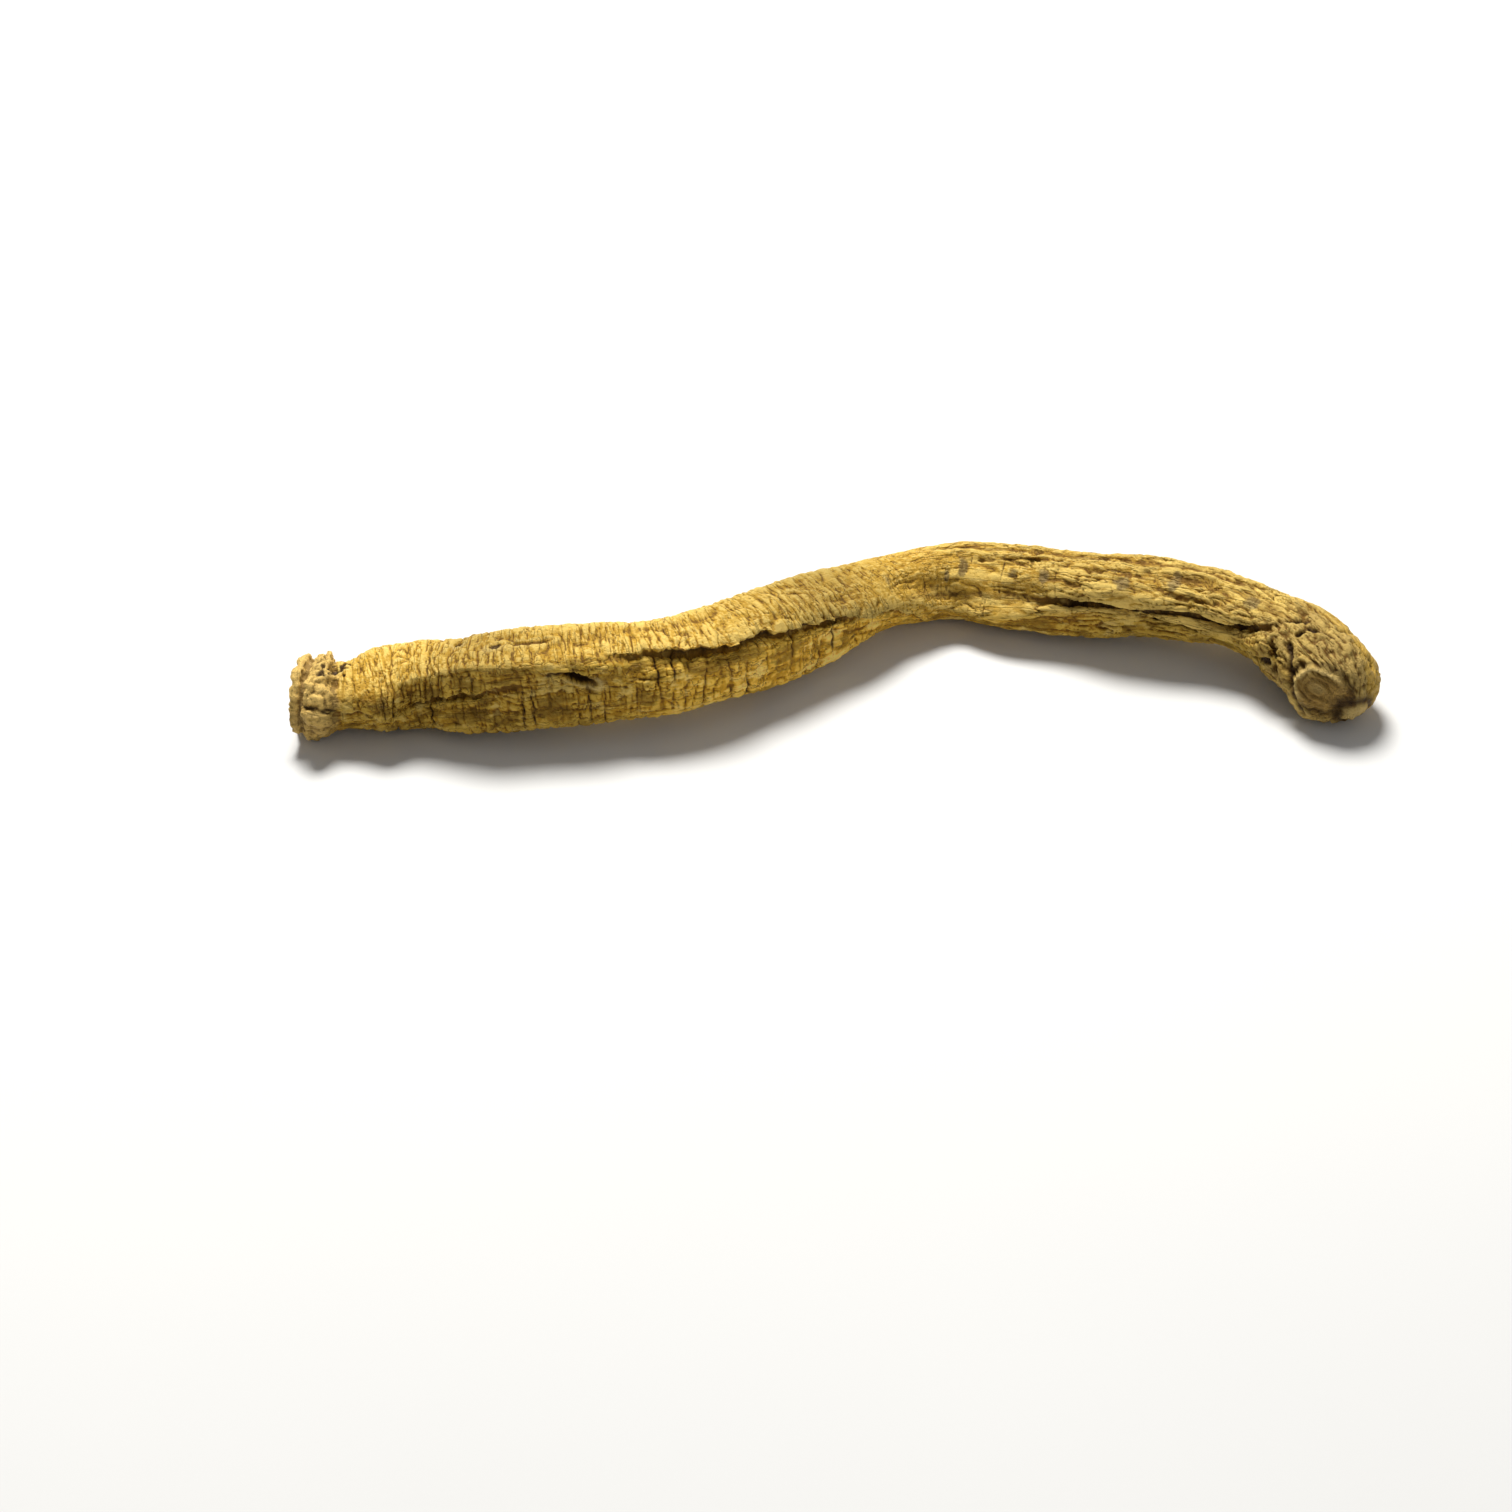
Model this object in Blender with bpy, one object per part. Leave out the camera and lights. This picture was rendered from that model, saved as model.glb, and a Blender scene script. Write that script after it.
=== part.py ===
"""One dried codonopsis root, lying on a flat surface.

The root is one solid. A closed skin is swept along a bent line, from the crumbly crown on the left (-X) to
the blunt, hooked tail on the right (+X). Metres, +Z up. The origin is at the middle of the base of its box.

A place along the root is its distance from the middle of the crown's collar. An angle round the root is in
degrees, from the back (+Y) and over the top: 0 back, 90 top, 180 front, 270 underneath.
"""

from collections import namedtuple

import bpy
import numpy as np

Facet = namedtuple("Facet", "start end fade angle share")
Fold = namedtuple("Fold", "start end fade depth width overhang course")
Ridge = namedtuple("Ridge", "start end height width course")
Scar = namedtuple("Scar", "axis half_length half_width height")
Knob = namedtuple("Knob", "place angle radius height")

# The line through the middle of the root, as it lies: x, y, z. It starts this far before place 0.
CROWN_START = -0.0020
MIDDLE_LINE = [
    (-0.0878, -0.0159, 0.0064),
    (-0.0814, -0.0166, 0.0064),
    (-0.0764, -0.0152, 0.0062),
    (-0.0698, -0.0145, 0.0069),
    (-0.0587, -0.0158, 0.0086),
    (-0.0413, -0.0144, 0.0096),
    (-0.0259, -0.0115, 0.0096),
    (-0.0105, -0.0014, 0.0086),
    (0.0029, 0.0090, 0.0072),
    (0.0088, 0.0137, 0.0065),
    (0.0146, 0.0161, 0.0060),
    (0.0206, 0.0160, 0.0062),
    (0.0273, 0.0136, 0.0069),
    (0.0415, 0.0095, 0.0082),
    (0.0539, 0.0061, 0.0090),
    (0.0631, 0.0030, 0.0090),
    (0.0685, 0.0003, 0.0086),
    (0.0729, -0.0039, 0.0080),
    (0.0764, -0.0085, 0.0073),
    (0.0784, -0.0122, 0.0068),
]

# The line's corners are rounded off by a mean over this far to each side, with these weights.
LINE_ROUNDING = 0.006
LINE_WEIGHTS = [(-1, 1 / 16), (-0.5, 4 / 16), (0, 6 / 16), (0.5, 4 / 16), (1, 1 / 16)]

# The section, as (place, value): half its width, its height over its width, and its turn in degrees.
HALF_WIDTH = [
    (-0.0020, 0.0069),
    (-0.0014, 0.0066),
    (-0.0005, 0.0074),
    (0.0014, 0.0076),
    (0.0034, 0.0066),
    (0.0105, 0.0084),
    (0.018, 0.0089),
    (0.029, 0.0096),
    (0.046, 0.0092),
    (0.070, 0.0092),
    (0.085, 0.0086),
    (0.0965, 0.0075),
    (0.111, 0.0073),
    (0.124, 0.0079),
    (0.140, 0.0086),
    (0.152, 0.0080),
    (0.162, 0.0073),
    (0.174, 0.0079),
    (0.185, 0.0083),
]
FLATNESS = [(0.000, 0.84), (0.050, 0.79), (0.090, 0.80), (0.130, 0.84), (0.165, 0.88), (0.185, 0.92)]
ROLL = [(0.000, -4.0), (0.050, 4.0), (0.095, 8.0), (0.130, 2.0), (0.165, -6.0), (0.185, 0.0)]

# Slow lumps of the section, as (share of the radius, length along the root, times round it, turn in radians).
LUMPS = [
    (0.030, 0.041, 2, 0.0),
    (0.025, 0.027, -3, 1.3),
    (0.015, 0.016, 1, 0.4),
]

# Flat sides of the section: the angle that they face, and how far out they are, as a share of half the width.
FACETS = [
    Facet(0.009, 0.056, 0.010, 168, 0.73),
    Facet(0.046, 0.104, 0.014, 186, 0.82),
    Facet(0.120, 0.172, 0.014, 178, 0.84),
]
FACET_ROUNDING = 0.0005
FACET_LEAST_COSINE = 0.2

# Long folds, where the skin sank between two lobes as the root dried. The course is (place, angle) points.
# The overhang is how far the lobe on the upper side stands out over the one on the lower side.
FOLDS = [
    # The lower front fold, by the crown.
    Fold(0.001, 0.038, 0.008, 0.0019, 0.0009, 0.0010,
         [(0.005, 171), (0.012, 177), (0.018, 168), (0.024, 164), (0.029, 157), (0.038, 152)]),
    # The long front fold, which starts above the front and runs down out of sight at the knee.
    Fold(0.044, 0.109, 0.013, 0.0021, 0.0009, 0.0014,
         [(0.044, 117), (0.050, 123), (0.056, 123), (0.063, 134), (0.071, 133), (0.077, 143),
          (0.084, 147), (0.090, 160), (0.098, 172), (0.103, 194), (0.108, 224)]),
    # The broad front hollow past the knee.
    Fold(0.092, 0.142, 0.016, 0.0009, 0.0023, 0.0000,
         [(0.098, 140), (0.105, 146), (0.115, 163), (0.1235, 156), (0.132, 154)]),
    # The upper and the lower front fold of the tail half, and the one that parts the scarred end from it.
    Fold(0.128, 0.174, 0.009, 0.0019, 0.0008, 0.0005,
         [(0.130, 160), (0.139, 159), (0.145, 163), (0.155, 157), (0.161, 164), (0.168, 147), (0.175, 112)]),
    Fold(0.142, 0.175, 0.008, 0.0021, 0.0009, 0.0008,
         [(0.140, 178), (0.156, 186), (0.160, 196), (0.166, 190), (0.170, 186), (0.176, 168)]),
    Fold(0.1718, 0.1825, 0.003, 0.0021, 0.0009, 0.0002,
         [(0.1725, 143), (0.1735, 150), (0.176, 170), (0.178, 190), (0.182, 212)]),
    # The folds of the back and the underside.
    Fold(0.010, 0.122, 0.012, 0.0028, 0.0012, -0.0009,
         [(0.010, -8), (0.040, -22), (0.075, -14), (0.105, -30), (0.125, -42)]),
    Fold(0.020, 0.142, 0.012, 0.0022, 0.0012, 0.0006,
         [(0.020, 262), (0.050, 284), (0.085, 270), (0.115, 292), (0.145, 300)]),
    Fold(0.114, 0.178, 0.012, 0.0020, 0.0010, 0.0004,
         [(0.115, 18), (0.140, 6), (0.160, 14), (0.178, 2)]),
]
# How the lobes on a fold's two sides step out and in: a share of the overhang, and how far it reaches.
LOBE_ABOVE = (0.6, 0.0040)
LOBE_BELOW = (1.5, 0.0070)

# Long ridges that stand out of the skin.
RIDGES = [
    # The edges between the bright upper face and the front, from the crown to the tail.
    Ridge(0.014, 0.052, 0.0008, 0.0017, [(0.016, 134), (0.028, 128), (0.040, 127), (0.050, 140)]),
    Ridge(0.096, 0.144, 0.0010, 0.0013,
          [(0.098, 168), (0.105, 172), (0.115, 184), (0.1235, 185), (0.132, 173), (0.142, 172)]),
    Ridge(0.147, 0.176, 0.0010, 0.0012, [(0.148, 174), (0.158, 180), (0.164, 176), (0.173, 154)]),
    # The ridges of the top and the back.
    Ridge(0.104, 0.166, 0.0006, 0.0010, [(0.100, 92), (0.125, 94), (0.150, 98), (0.166, 92)]),
    Ridge(0.108, 0.176, 0.0007, 0.0013, [(0.104, 66), (0.130, 72), (0.155, 68), (0.176, 78)]),
    Ridge(0.018, 0.098, 0.0006, 0.0016, [(0.016, 60), (0.045, 66), (0.080, 58), (0.104, 62)]),
    Ridge(0.034, 0.150, 0.0007, 0.0019, [(0.030, 318), (0.070, 326), (0.110, 318), (0.150, 326)]),
]
RIDGE_FADE = 0.010

# The rings round the crown half: cracks between swollen bands of skin.
RING_SPACING = 0.0027
RINGS_START = 0.0075
RINGS_END = 0.122
RING_DEPTH = 0.00075
RING_WIDTH = 0.00045
RING_LEAN = 0.0010
RING_WANDER = 0.0004
WANDER_LENGTH = 0.004
WANDERS_ROUND = 9
RING_SEED = 7
# What is drawn for each ring: its depth as a share, and the gap to the next as a share of the spacing. A ring
# fades in between these two cosines of the angle from its own middle.
RING_SHARES = (0.6, 1.0)
RING_GAPS = (0.65, 1.35)
RING_REACH = (-0.75, 0.5)
# Past this place the rings are fainter and further apart.
RINGS_FAINT_FROM = 0.085
RINGS_FAINTER = 0.65
RINGS_WIDER = 0.6

# The long wrinkles, which are strongest in the tail half.
WRINKLE_LENGTH = 0.011
WRINKLES_ROUND = 20
WRINKLE_DEPTH = 0.00060
WRINKLE_SHARPNESS = 0.22
WRINKLE_SEED = 21
# The share of this depth in the crown half, where it grows, and where it fades again on the tail's end.
WRINKLE_LEAST = 0.15
WRINKLE_GROWTH = (0.110, 0.145)
WRINKLE_FADE = (0.172, 0.182)

# The crown: a warty collar, a groove behind it, and a torn end face, sunk inside a raised rim.
COLLAR_END = 0.0028
COLLAR_GROOVE_DEPTH = 0.0009
COLLAR_GROOVE_WIDTH = 0.0007
COLLAR_GROOVE_ANGLE = 95
COLLAR_GROOVE_REACH = (-0.6, 0.6)
COLLAR_FADE = 0.0015
WART_SIZE = 0.0021
WARTS_ROUND = 20
WART_HEIGHT = 0.00050
WART_SEED = 5
RIM_HEIGHT = 0.0009
RIM_SHARE = 0.14
RIM_WIDTH = 0.17
RIM_WARTS = 0.7
FACE_SINK = 0.0032
FACE_SLOPE = (0.25, 0.8)
FACE_SIZE = 0.012
FACE_NARROWING = 1.3
KNOB = Knob(0.0006, 171, 0.0015, 0.0014)

# The tail: a round end, cut off flat on one side at some distance from its middle, with the scars of two cut
# rootlets. A scar's axis points out from the end's middle.
TAIL_DEPTH = 0.0072
TAIL_REACH = 0.0125
END_FACING = (-0.17, -0.98, 0.06)
END_DISTANCE = 0.0060
END_ROUNDING = 0.0004
END_SHARE = 0.85
SCARS = [
    Scar((-0.587, -0.709, 0.389), 0.0042, 0.0030, 0.0009),
    Scar((0.304, -0.910, -0.283), 0.0019, 0.0018, 0.0006),
]
SCAR_FACING = 0.3
# Each part of a scar: its place as a share of the scar's size, its width, and its share of the scar's height.
STUB = (0.85, 1.2, 0.75)
SCAR_RIM = (0.92, 0.16, 0.7)
SCAR_MOAT = (1.35, 0.22, 0.35)

ROW_STEP = 0.00042
COLUMNS = 110
CAP_ROWS = 16
TRIANGLES = 11600
# More than the length along the root, and the step that its direction is taken over.
LONGEST = 0.22
DIRECTION_STEP = 0.0005

SKIN_COLOUR = (0.56, 0.37, 0.11, 1.0)
SKIN_ROUGHNESS = 0.85


def eased(stations, at):
    """The value at each place of a smooth curve through (place, value) stations."""
    place, value = np.array(stations, float).T
    slope = np.gradient(value, place)
    i = np.clip(np.searchsorted(place, at) - 1, 0, len(place) - 2)
    gap = place[i + 1] - place[i]
    t = np.clip((at - place[i]) / gap, 0, 1)
    return (
        (1 + 2 * t) * (1 - t) ** 2 * value[i]
        + t * (1 - t) ** 2 * gap * slope[i]
        + t * t * (3 - 2 * t) * value[i + 1]
        + t * t * (t - 1) * gap * slope[i + 1]
    )


def ramp(low, high, at):
    """0 below low, 1 above high, and smooth between."""
    t = np.clip((at - low) / (high - low), 0, 1)
    return t * t * (3 - 2 * t)


def bell(distance, width):
    return np.exp(-((distance / width) ** 2))


def patches(at, angle, length, around, seed):
    """Smooth random values from -1 to 1, with a cell each length along the root and some cells round it."""
    rows = int(LONGEST / length) + 4
    lattice = np.random.RandomState(seed).uniform(-1, 1, (rows, around))
    along = at / length + 1
    turn = (angle % 360) / 360 * around
    i = np.clip(np.floor(along).astype(int), 0, rows - 2)
    j = np.floor(turn).astype(int) % around
    after = (j + 1) % around
    u, v = ramp(0, 1, along - i), ramp(0, 1, turn - np.floor(turn))
    near = lattice[i, j] * (1 - v) + lattice[i, after] * v
    far = lattice[i + 1, j] * (1 - v) + lattice[i + 1, after] * v
    return near * (1 - u) + far * u


def middle_line():
    """The place of each point of the middle line, and its points."""
    points = np.array(MIDDLE_LINE)
    steps = np.linalg.norm(np.diff(points, axis=0), axis=1)
    return CROWN_START + np.concatenate([[0], np.cumsum(steps)]), points


def on_line(at):
    """The middle of the root at each place, on the middle line with its corners rounded off."""
    places, points = middle_line()
    stations = [list(zip(places, points[:, k])) for k in range(3)]
    reach = np.clip(np.minimum(at - places[0], places[-1] - at), 0, LINE_ROUNDING)
    total = 0
    for shift, weight in LINE_WEIGHTS:
        total = total + weight * np.stack([eased(one, at + shift * reach) for one in stations], axis=-1)
    return total


def frames(at, length):
    """At each place: the middle, and the directions sideways, up and forward along the root."""
    step = DIRECTION_STEP
    inside = np.clip(at, CROWN_START + step, length - step)
    forward = on_line(inside + step) - on_line(inside - step)
    forward /= np.linalg.norm(forward, axis=-1, keepdims=True)
    sideways = np.cross([0, 0, 1], forward)
    sideways /= np.linalg.norm(sideways, axis=-1, keepdims=True)
    return on_line(at), sideways, np.cross(forward, sideways), forward


def across(angle, course_angle, radius):
    """The distance round the skin from a course to each angle, growing with the angle."""
    turn = (angle - course_angle + 180) % 360 - 180
    return np.radians(turn) * radius


def share_along(line, at, fade):
    """1 along a fold, a facet or a ridge, falling to 0 at its two ends."""
    return ramp(line.start, line.start + fade, at) * (1 - ramp(line.end - fade, line.end, at))


def with_facets(at, angle, radius):
    """The radius with the flat sides of the section cut off it."""
    half_width = eased(HALF_WIDTH, at)
    for facet in FACETS:
        away = np.maximum(np.cos(np.radians(angle - facet.angle)), FACET_LEAST_COSINE)
        over = radius - facet.share * half_width / away
        over = (over + np.hypot(over, FACET_ROUNDING)) / 2
        radius = radius - over * share_along(facet, at, facet.fade)
    return radius


def plain_radius(at, angle):
    """The radius of the flattened section, with the slow lumps of a grown thing."""
    half_width = eased(HALF_WIDTH, at)
    half_height = half_width * eased(FLATNESS, at)
    turn = np.radians(angle - eased(ROLL, at))
    oval = half_width * half_height / np.hypot(half_height * np.cos(turn), half_width * np.sin(turn))
    lumps = 1
    for share, length, times, start in LUMPS:
        lumps = lumps + share * np.sin(2 * np.pi * at / length + np.radians(times * angle) + start)
    return with_facets(at, angle, oval * lumps)


def fold_relief(at, angle, radius):
    """The grooves of the folds, with the step from the lobe above each to the lobe below it."""
    total = np.zeros_like(radius)
    for fold in FOLDS:
        gone = across(angle, eased(fold.course, at), radius)
        above = (gone < 0) == (fold.overhang > 0)
        share, reach = np.where(above[..., None], LOBE_ABOVE, LOBE_BELOW).transpose(2, 0, 1)
        step = -np.tanh(2 * gone / fold.width) * share * bell(gone, reach)
        relief = fold.overhang * step - fold.depth * bell(gone, fold.width)
        total += share_along(fold, at, fold.fade) * relief
    return total


def ridge_relief(at, angle, radius):
    total = np.zeros_like(radius)
    for ridge in RIDGES:
        gone = across(angle, eased(ridge.course, at), radius)
        total += share_along(ridge, at, RIDGE_FADE) * ridge.height * bell(gone, ridge.width)
    return total


def ring_relief(at, angle):
    """Cracks round the root that wander, and come and go round it."""
    draw = np.random.RandomState(RING_SEED)
    wander = RING_WANDER * patches(at, angle, WANDER_LENGTH, WANDERS_ROUND, RING_SEED)
    total = np.zeros_like(angle)
    place = RINGS_START
    while place < RINGS_END:
        lean, start, depth = draw.uniform(-1, 1), draw.uniform(0, 360), draw.uniform(*RING_SHARES)
        turn = np.radians(angle - start)
        faint = ramp(RINGS_FAINT_FROM, RINGS_END, place)
        gone = at - place - RING_LEAN * lean * np.sin(turn) - wander
        strength = ramp(*RING_REACH, np.cos(turn)) * (1 - RINGS_FAINTER * faint)
        total -= RING_DEPTH * depth * strength * np.exp(-np.abs(gone) / RING_WIDTH)
        place += RING_SPACING * draw.uniform(*RING_GAPS) * (1 + RINGS_WIDER * faint)
    return total


def wrinkle_relief(at, angle):
    """Long creases where slow random patches cross zero."""
    value = patches(at, angle, WRINKLE_LENGTH, WRINKLES_ROUND, WRINKLE_SEED)
    crease = np.exp(-np.abs(value) / WRINKLE_SHARPNESS)
    strength = WRINKLE_LEAST + (1 - WRINKLE_LEAST) * ramp(*WRINKLE_GROWTH, at)
    return -WRINKLE_DEPTH * strength * (1 - ramp(*WRINKLE_FADE, at)) * crease


def crown_relief(at, angle, radius):
    """The warts of the collar, the groove behind it, and the knob under the front."""
    warts = patches(at, angle, WART_SIZE, WARTS_ROUND, WART_SEED)
    over = np.radians(angle - COLLAR_GROOVE_ANGLE)
    groove = ramp(*COLLAR_GROOVE_REACH, np.cos(over)) * bell(at - COLLAR_END, COLLAR_GROOVE_WIDTH)
    round_knob = np.hypot(at - KNOB.place, across(angle, KNOB.angle, radius))
    return (
        WART_HEIGHT * warts * (1 - ramp(COLLAR_END, COLLAR_END + COLLAR_FADE, at))
        - COLLAR_GROOVE_DEPTH * groove
        + KNOB.height * bell(round_knob, KNOB.radius)
    )


def skin_radius(at, angle):
    """The radius of the skin at each place and angle."""
    radius = plain_radius(at, angle)
    return (
        radius
        + fold_relief(at, angle, radius)
        + ridge_relief(at, angle, radius)
        + ring_relief(at, angle)
        + wrinkle_relief(at, angle)
        + crown_relief(at, angle, radius)
    )


def crown_cap(share, angle):
    """How far the torn end face stands out, where share goes from 0 at its edge to 1 at its middle."""
    rim = RIM_HEIGHT * bell(share - RIM_SHARE, RIM_WIDTH)
    warts = patches(share * FACE_SIZE, angle, WART_SIZE, WARTS_ROUND // 2, WART_SEED + 1)
    return rim * (1 + RIM_WARTS * warts) + WART_HEIGHT * warts * share - FACE_SINK * ramp(*FACE_SLOPE, share)


def skin_points():
    """Rows of points round the root, from the middle of the crown's face to the tail's tip."""
    length = middle_line()[0][-1]
    body = np.linspace(CROWN_START, length, int(length / ROW_STEP) + 1)
    angle = np.linspace(0, 360, COLUMNS, endpoint=False)
    cap = np.arange(1, CAP_ROWS) / CAP_ROWS
    places = np.concatenate([np.full(CAP_ROWS - 1, CROWN_START), body, np.full(CAP_ROWS - 1, length)])
    at, round_angle = np.meshgrid(places, angle, indexing="ij")
    radius = skin_radius(at, round_angle)
    out = np.zeros_like(radius)
    narrow = np.ones_like(radius)
    crown_share = cap[::-1, None] + 0 * angle
    narrow[: CAP_ROWS - 1] = 1 - crown_share ** FACE_NARROWING
    out[: CAP_ROWS - 1] = -crown_cap(crown_share, round_angle[: CAP_ROWS - 1])
    tail_turn = np.radians(90 * cap)[:, None] + 0 * angle
    narrow[1 - CAP_ROWS:] = np.cos(tail_turn)
    out[1 - CAP_ROWS:] = TAIL_DEPTH * np.sin(tail_turn)
    middle, sideways, up, forward = frames(places, length)
    turn = np.radians(round_angle)
    reach = radius * narrow
    points = (
        middle[:, None]
        + (reach * np.cos(turn))[..., None] * sideways[:, None]
        + (reach * np.sin(turn))[..., None] * up[:, None]
        + out[..., None] * forward[:, None]
    )
    face_middle = middle[0] + FACE_SINK * forward[0]
    tip = middle[-1] + TAIL_DEPTH * forward[-1]
    return points, face_middle, tip


def cut_end(points):
    """Cuts the tail's end off flat on the side that END_FACING points to."""
    facing = np.array(END_FACING) / np.linalg.norm(END_FACING)
    away = points - MIDDLE_LINE[-1]
    over = away @ facing - END_DISTANCE
    near = np.linalg.norm(away, axis=-1) < TAIL_REACH
    taken = np.where(near, (over + np.hypot(over, END_ROUNDING)) / 2, 0)
    return points - END_SHARE * taken[..., None] * facing


def stamp_scars(points):
    """Raises the cut ends of two rootlets out of the tail: a pale rim round a flat, sunken middle."""
    away = points - MIDDLE_LINE[-1]
    distance = np.linalg.norm(away, axis=-1)
    moved = points.copy()
    for scar in SCARS:
        axis = np.array(scar.axis) / np.linalg.norm(scar.axis)
        along = np.cross([0, 0, 1], axis)
        along /= np.linalg.norm(along)
        over = np.cross(axis, along)
        near = (away @ axis > SCAR_FACING * distance) & (distance < TAIL_REACH)
        size = np.hypot(away @ along / scar.half_length, away @ over / scar.half_width)
        rise = (
            STUB[2] * (1 - ramp(STUB[0], STUB[1], size))
            + SCAR_RIM[2] * bell(size - SCAR_RIM[0], SCAR_RIM[1])
            - SCAR_MOAT[2] * bell(size - SCAR_MOAT[0], SCAR_MOAT[1])
        )
        moved += np.where(near, scar.height * rise, 0)[..., None] * axis
    return moved


def faces_between(rows, columns):
    """The quads between the rows, and the triangles round the two tips that follow the rows."""
    faces = []
    for row in range(rows - 1):
        for column in range(columns):
            here, beside = row * columns + column, row * columns + (column + 1) % columns
            faces.append((here, beside, beside + columns, here + columns))
    first, last = rows * columns, rows * columns + 1
    end = (rows - 1) * columns
    for column in range(columns):
        beside = (column + 1) % columns
        faces.append((first, beside, column))
        faces.append((last, end + column, end + beside))
    return faces


def fine_mesh():
    points, face_middle, tip = skin_points()
    rows, columns = points.shape[:2]
    vertices = stamp_scars(cut_end(np.concatenate([points.reshape(-1, 3), [face_middle, tip]])))
    mesh = bpy.data.meshes.new("fine_root")
    mesh.from_pydata(vertices.tolist(), [], faces_between(rows, columns))
    return mesh


def fewer_faces(mesh):
    """The same shape with its faces only where the relief needs them."""
    fine = bpy.data.objects.new("fine_root", mesh)
    bpy.context.scene.collection.objects.link(fine)
    thin = fine.modifiers.new("fewer_faces", "DECIMATE")
    thin.ratio = TRIANGLES / (2 * len(mesh.polygons))
    thin.use_collapse_triangulate = True
    bpy.context.view_layer.update()
    result = bpy.data.meshes.new_from_object(fine.evaluated_get(bpy.context.evaluated_depsgraph_get()))
    bpy.data.objects.remove(fine)
    return result


def set_down(mesh):
    """Flattens what touches the surface, and puts the origin at the middle of the base."""
    points = np.array([vertex.co for vertex in mesh.vertices])
    points[:, 2] = np.maximum(points[:, 2], 0)
    middle = (points.min(axis=0) + points.max(axis=0)) / 2
    points[:, :2] -= middle[:2]
    mesh.vertices.foreach_set("co", points.ravel())
    mesh.update()


def skin_material():
    material = bpy.data.materials.new("root_skin")
    material.use_nodes = True
    shader = material.node_tree.nodes["Principled BSDF"]
    shader.inputs["Base Color"].default_value = SKIN_COLOUR
    shader.inputs["Roughness"].default_value = SKIN_ROUGHNESS
    return material


def main():
    for old in list(bpy.data.objects):
        bpy.data.objects.remove(old)
    mesh = fewer_faces(fine_mesh())
    set_down(mesh)
    mesh.shade_smooth()
    mesh.materials.append(skin_material())
    root = bpy.data.objects.new("root", mesh)
    bpy.context.scene.collection.objects.link(root)


main()
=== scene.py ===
"""The looks of one dried codonopsis root: a fine skin over its plain solid, its finish, light and camera.

The skin is swept along the same bent line as the solid, from the crumbly crown (-X) to the hooked tail (+X).
A place along the root is its distance from the middle of the crown's collar. An angle round the root is in
degrees, from the back (+Y) and over the top: 0 back, 90 top, 180 front, 270 underneath. Metres throughout.
"""

import math
from collections import namedtuple

import bpy
import numpy as np
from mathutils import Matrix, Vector, noise


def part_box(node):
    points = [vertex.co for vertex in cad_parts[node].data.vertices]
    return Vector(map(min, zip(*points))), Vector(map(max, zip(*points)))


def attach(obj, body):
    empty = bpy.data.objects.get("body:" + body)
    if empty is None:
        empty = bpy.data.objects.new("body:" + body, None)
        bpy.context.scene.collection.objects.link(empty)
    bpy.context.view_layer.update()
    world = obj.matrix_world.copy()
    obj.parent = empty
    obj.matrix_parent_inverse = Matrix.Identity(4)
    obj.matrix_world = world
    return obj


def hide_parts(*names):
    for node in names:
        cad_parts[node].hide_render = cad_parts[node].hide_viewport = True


Facet = namedtuple("Facet", "start end fade angle share")
Fold = namedtuple("Fold", "start end fade depth width overhang lip course")
Ridge = namedtuple("Ridge", "start end height width course")
Scar = namedtuple("Scar", "axis half_length half_width height pale shade")
Pucker = namedtuple("Pucker", "along around top_depth front_depth tail_depth crease")
Knob = namedtuple("Knob", "place angle radius height")
Spot = namedtuple("Spot", "place angle half_length half_width lean depth dark", defaults=(0, 0.0, 1.0))
Crevice = namedtuple("Crevice", "course half_width depth dark")
Layer = namedtuple("Layer", "reads low high share colour")
Lamp = namedtuple("Lamp", "place size power colour")

# The solid's form, with the values of the construction script. Only the folds, the knob, the scars and how
# faint the last rings are were set anew for the fine skin.

CROWN_START = -0.0020
MIDDLE_LINE = [
    (-0.0878, -0.0159, 0.0064),
    (-0.0814, -0.0166, 0.0064),
    (-0.0764, -0.0152, 0.0062),
    (-0.0698, -0.0145, 0.0069),
    (-0.0587, -0.0158, 0.0086),
    (-0.0413, -0.0144, 0.0096),
    (-0.0259, -0.0115, 0.0096),
    (-0.0105, -0.0014, 0.0086),
    (0.0029, 0.0090, 0.0072),
    (0.0088, 0.0137, 0.0065),
    (0.0146, 0.0161, 0.0060),
    (0.0206, 0.0160, 0.0062),
    (0.0273, 0.0136, 0.0069),
    (0.0415, 0.0095, 0.0082),
    (0.0539, 0.0061, 0.0090),
    (0.0631, 0.0030, 0.0090),
    (0.0685, 0.0003, 0.0086),
    (0.0729, -0.0039, 0.0080),
    (0.0764, -0.0085, 0.0073),
    (0.0784, -0.0122, 0.0068),
]
# The line's corners are rounded off by a mean over this far to each side, with these weights.
LINE_ROUNDING = 0.006
LINE_WEIGHTS = [(-1, 1 / 16), (-0.5, 4 / 16), (0, 6 / 16), (0.5, 4 / 16), (1, 1 / 16)]
HALF_WIDTH = [
    (-0.0020, 0.0069),
    (-0.0014, 0.0066),
    (-0.0005, 0.0074),
    (0.0014, 0.0076),
    (0.0034, 0.0066),
    (0.0105, 0.0084),
    (0.018, 0.0089),
    (0.029, 0.0096),
    (0.046, 0.0092),
    (0.070, 0.0092),
    (0.085, 0.0086),
    (0.0965, 0.0075),
    (0.111, 0.0073),
    (0.124, 0.0079),
    (0.140, 0.0086),
    (0.152, 0.0080),
    (0.162, 0.0073),
    (0.174, 0.0079),
    (0.185, 0.0083),
]
FLATNESS = [(0.000, 0.84), (0.050, 0.79), (0.090, 0.80), (0.130, 0.84), (0.165, 0.88), (0.185, 0.92)]
ROLL = [(0.000, -4.0), (0.050, 4.0), (0.095, 8.0), (0.130, 2.0), (0.165, -6.0), (0.185, 0.0)]

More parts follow.
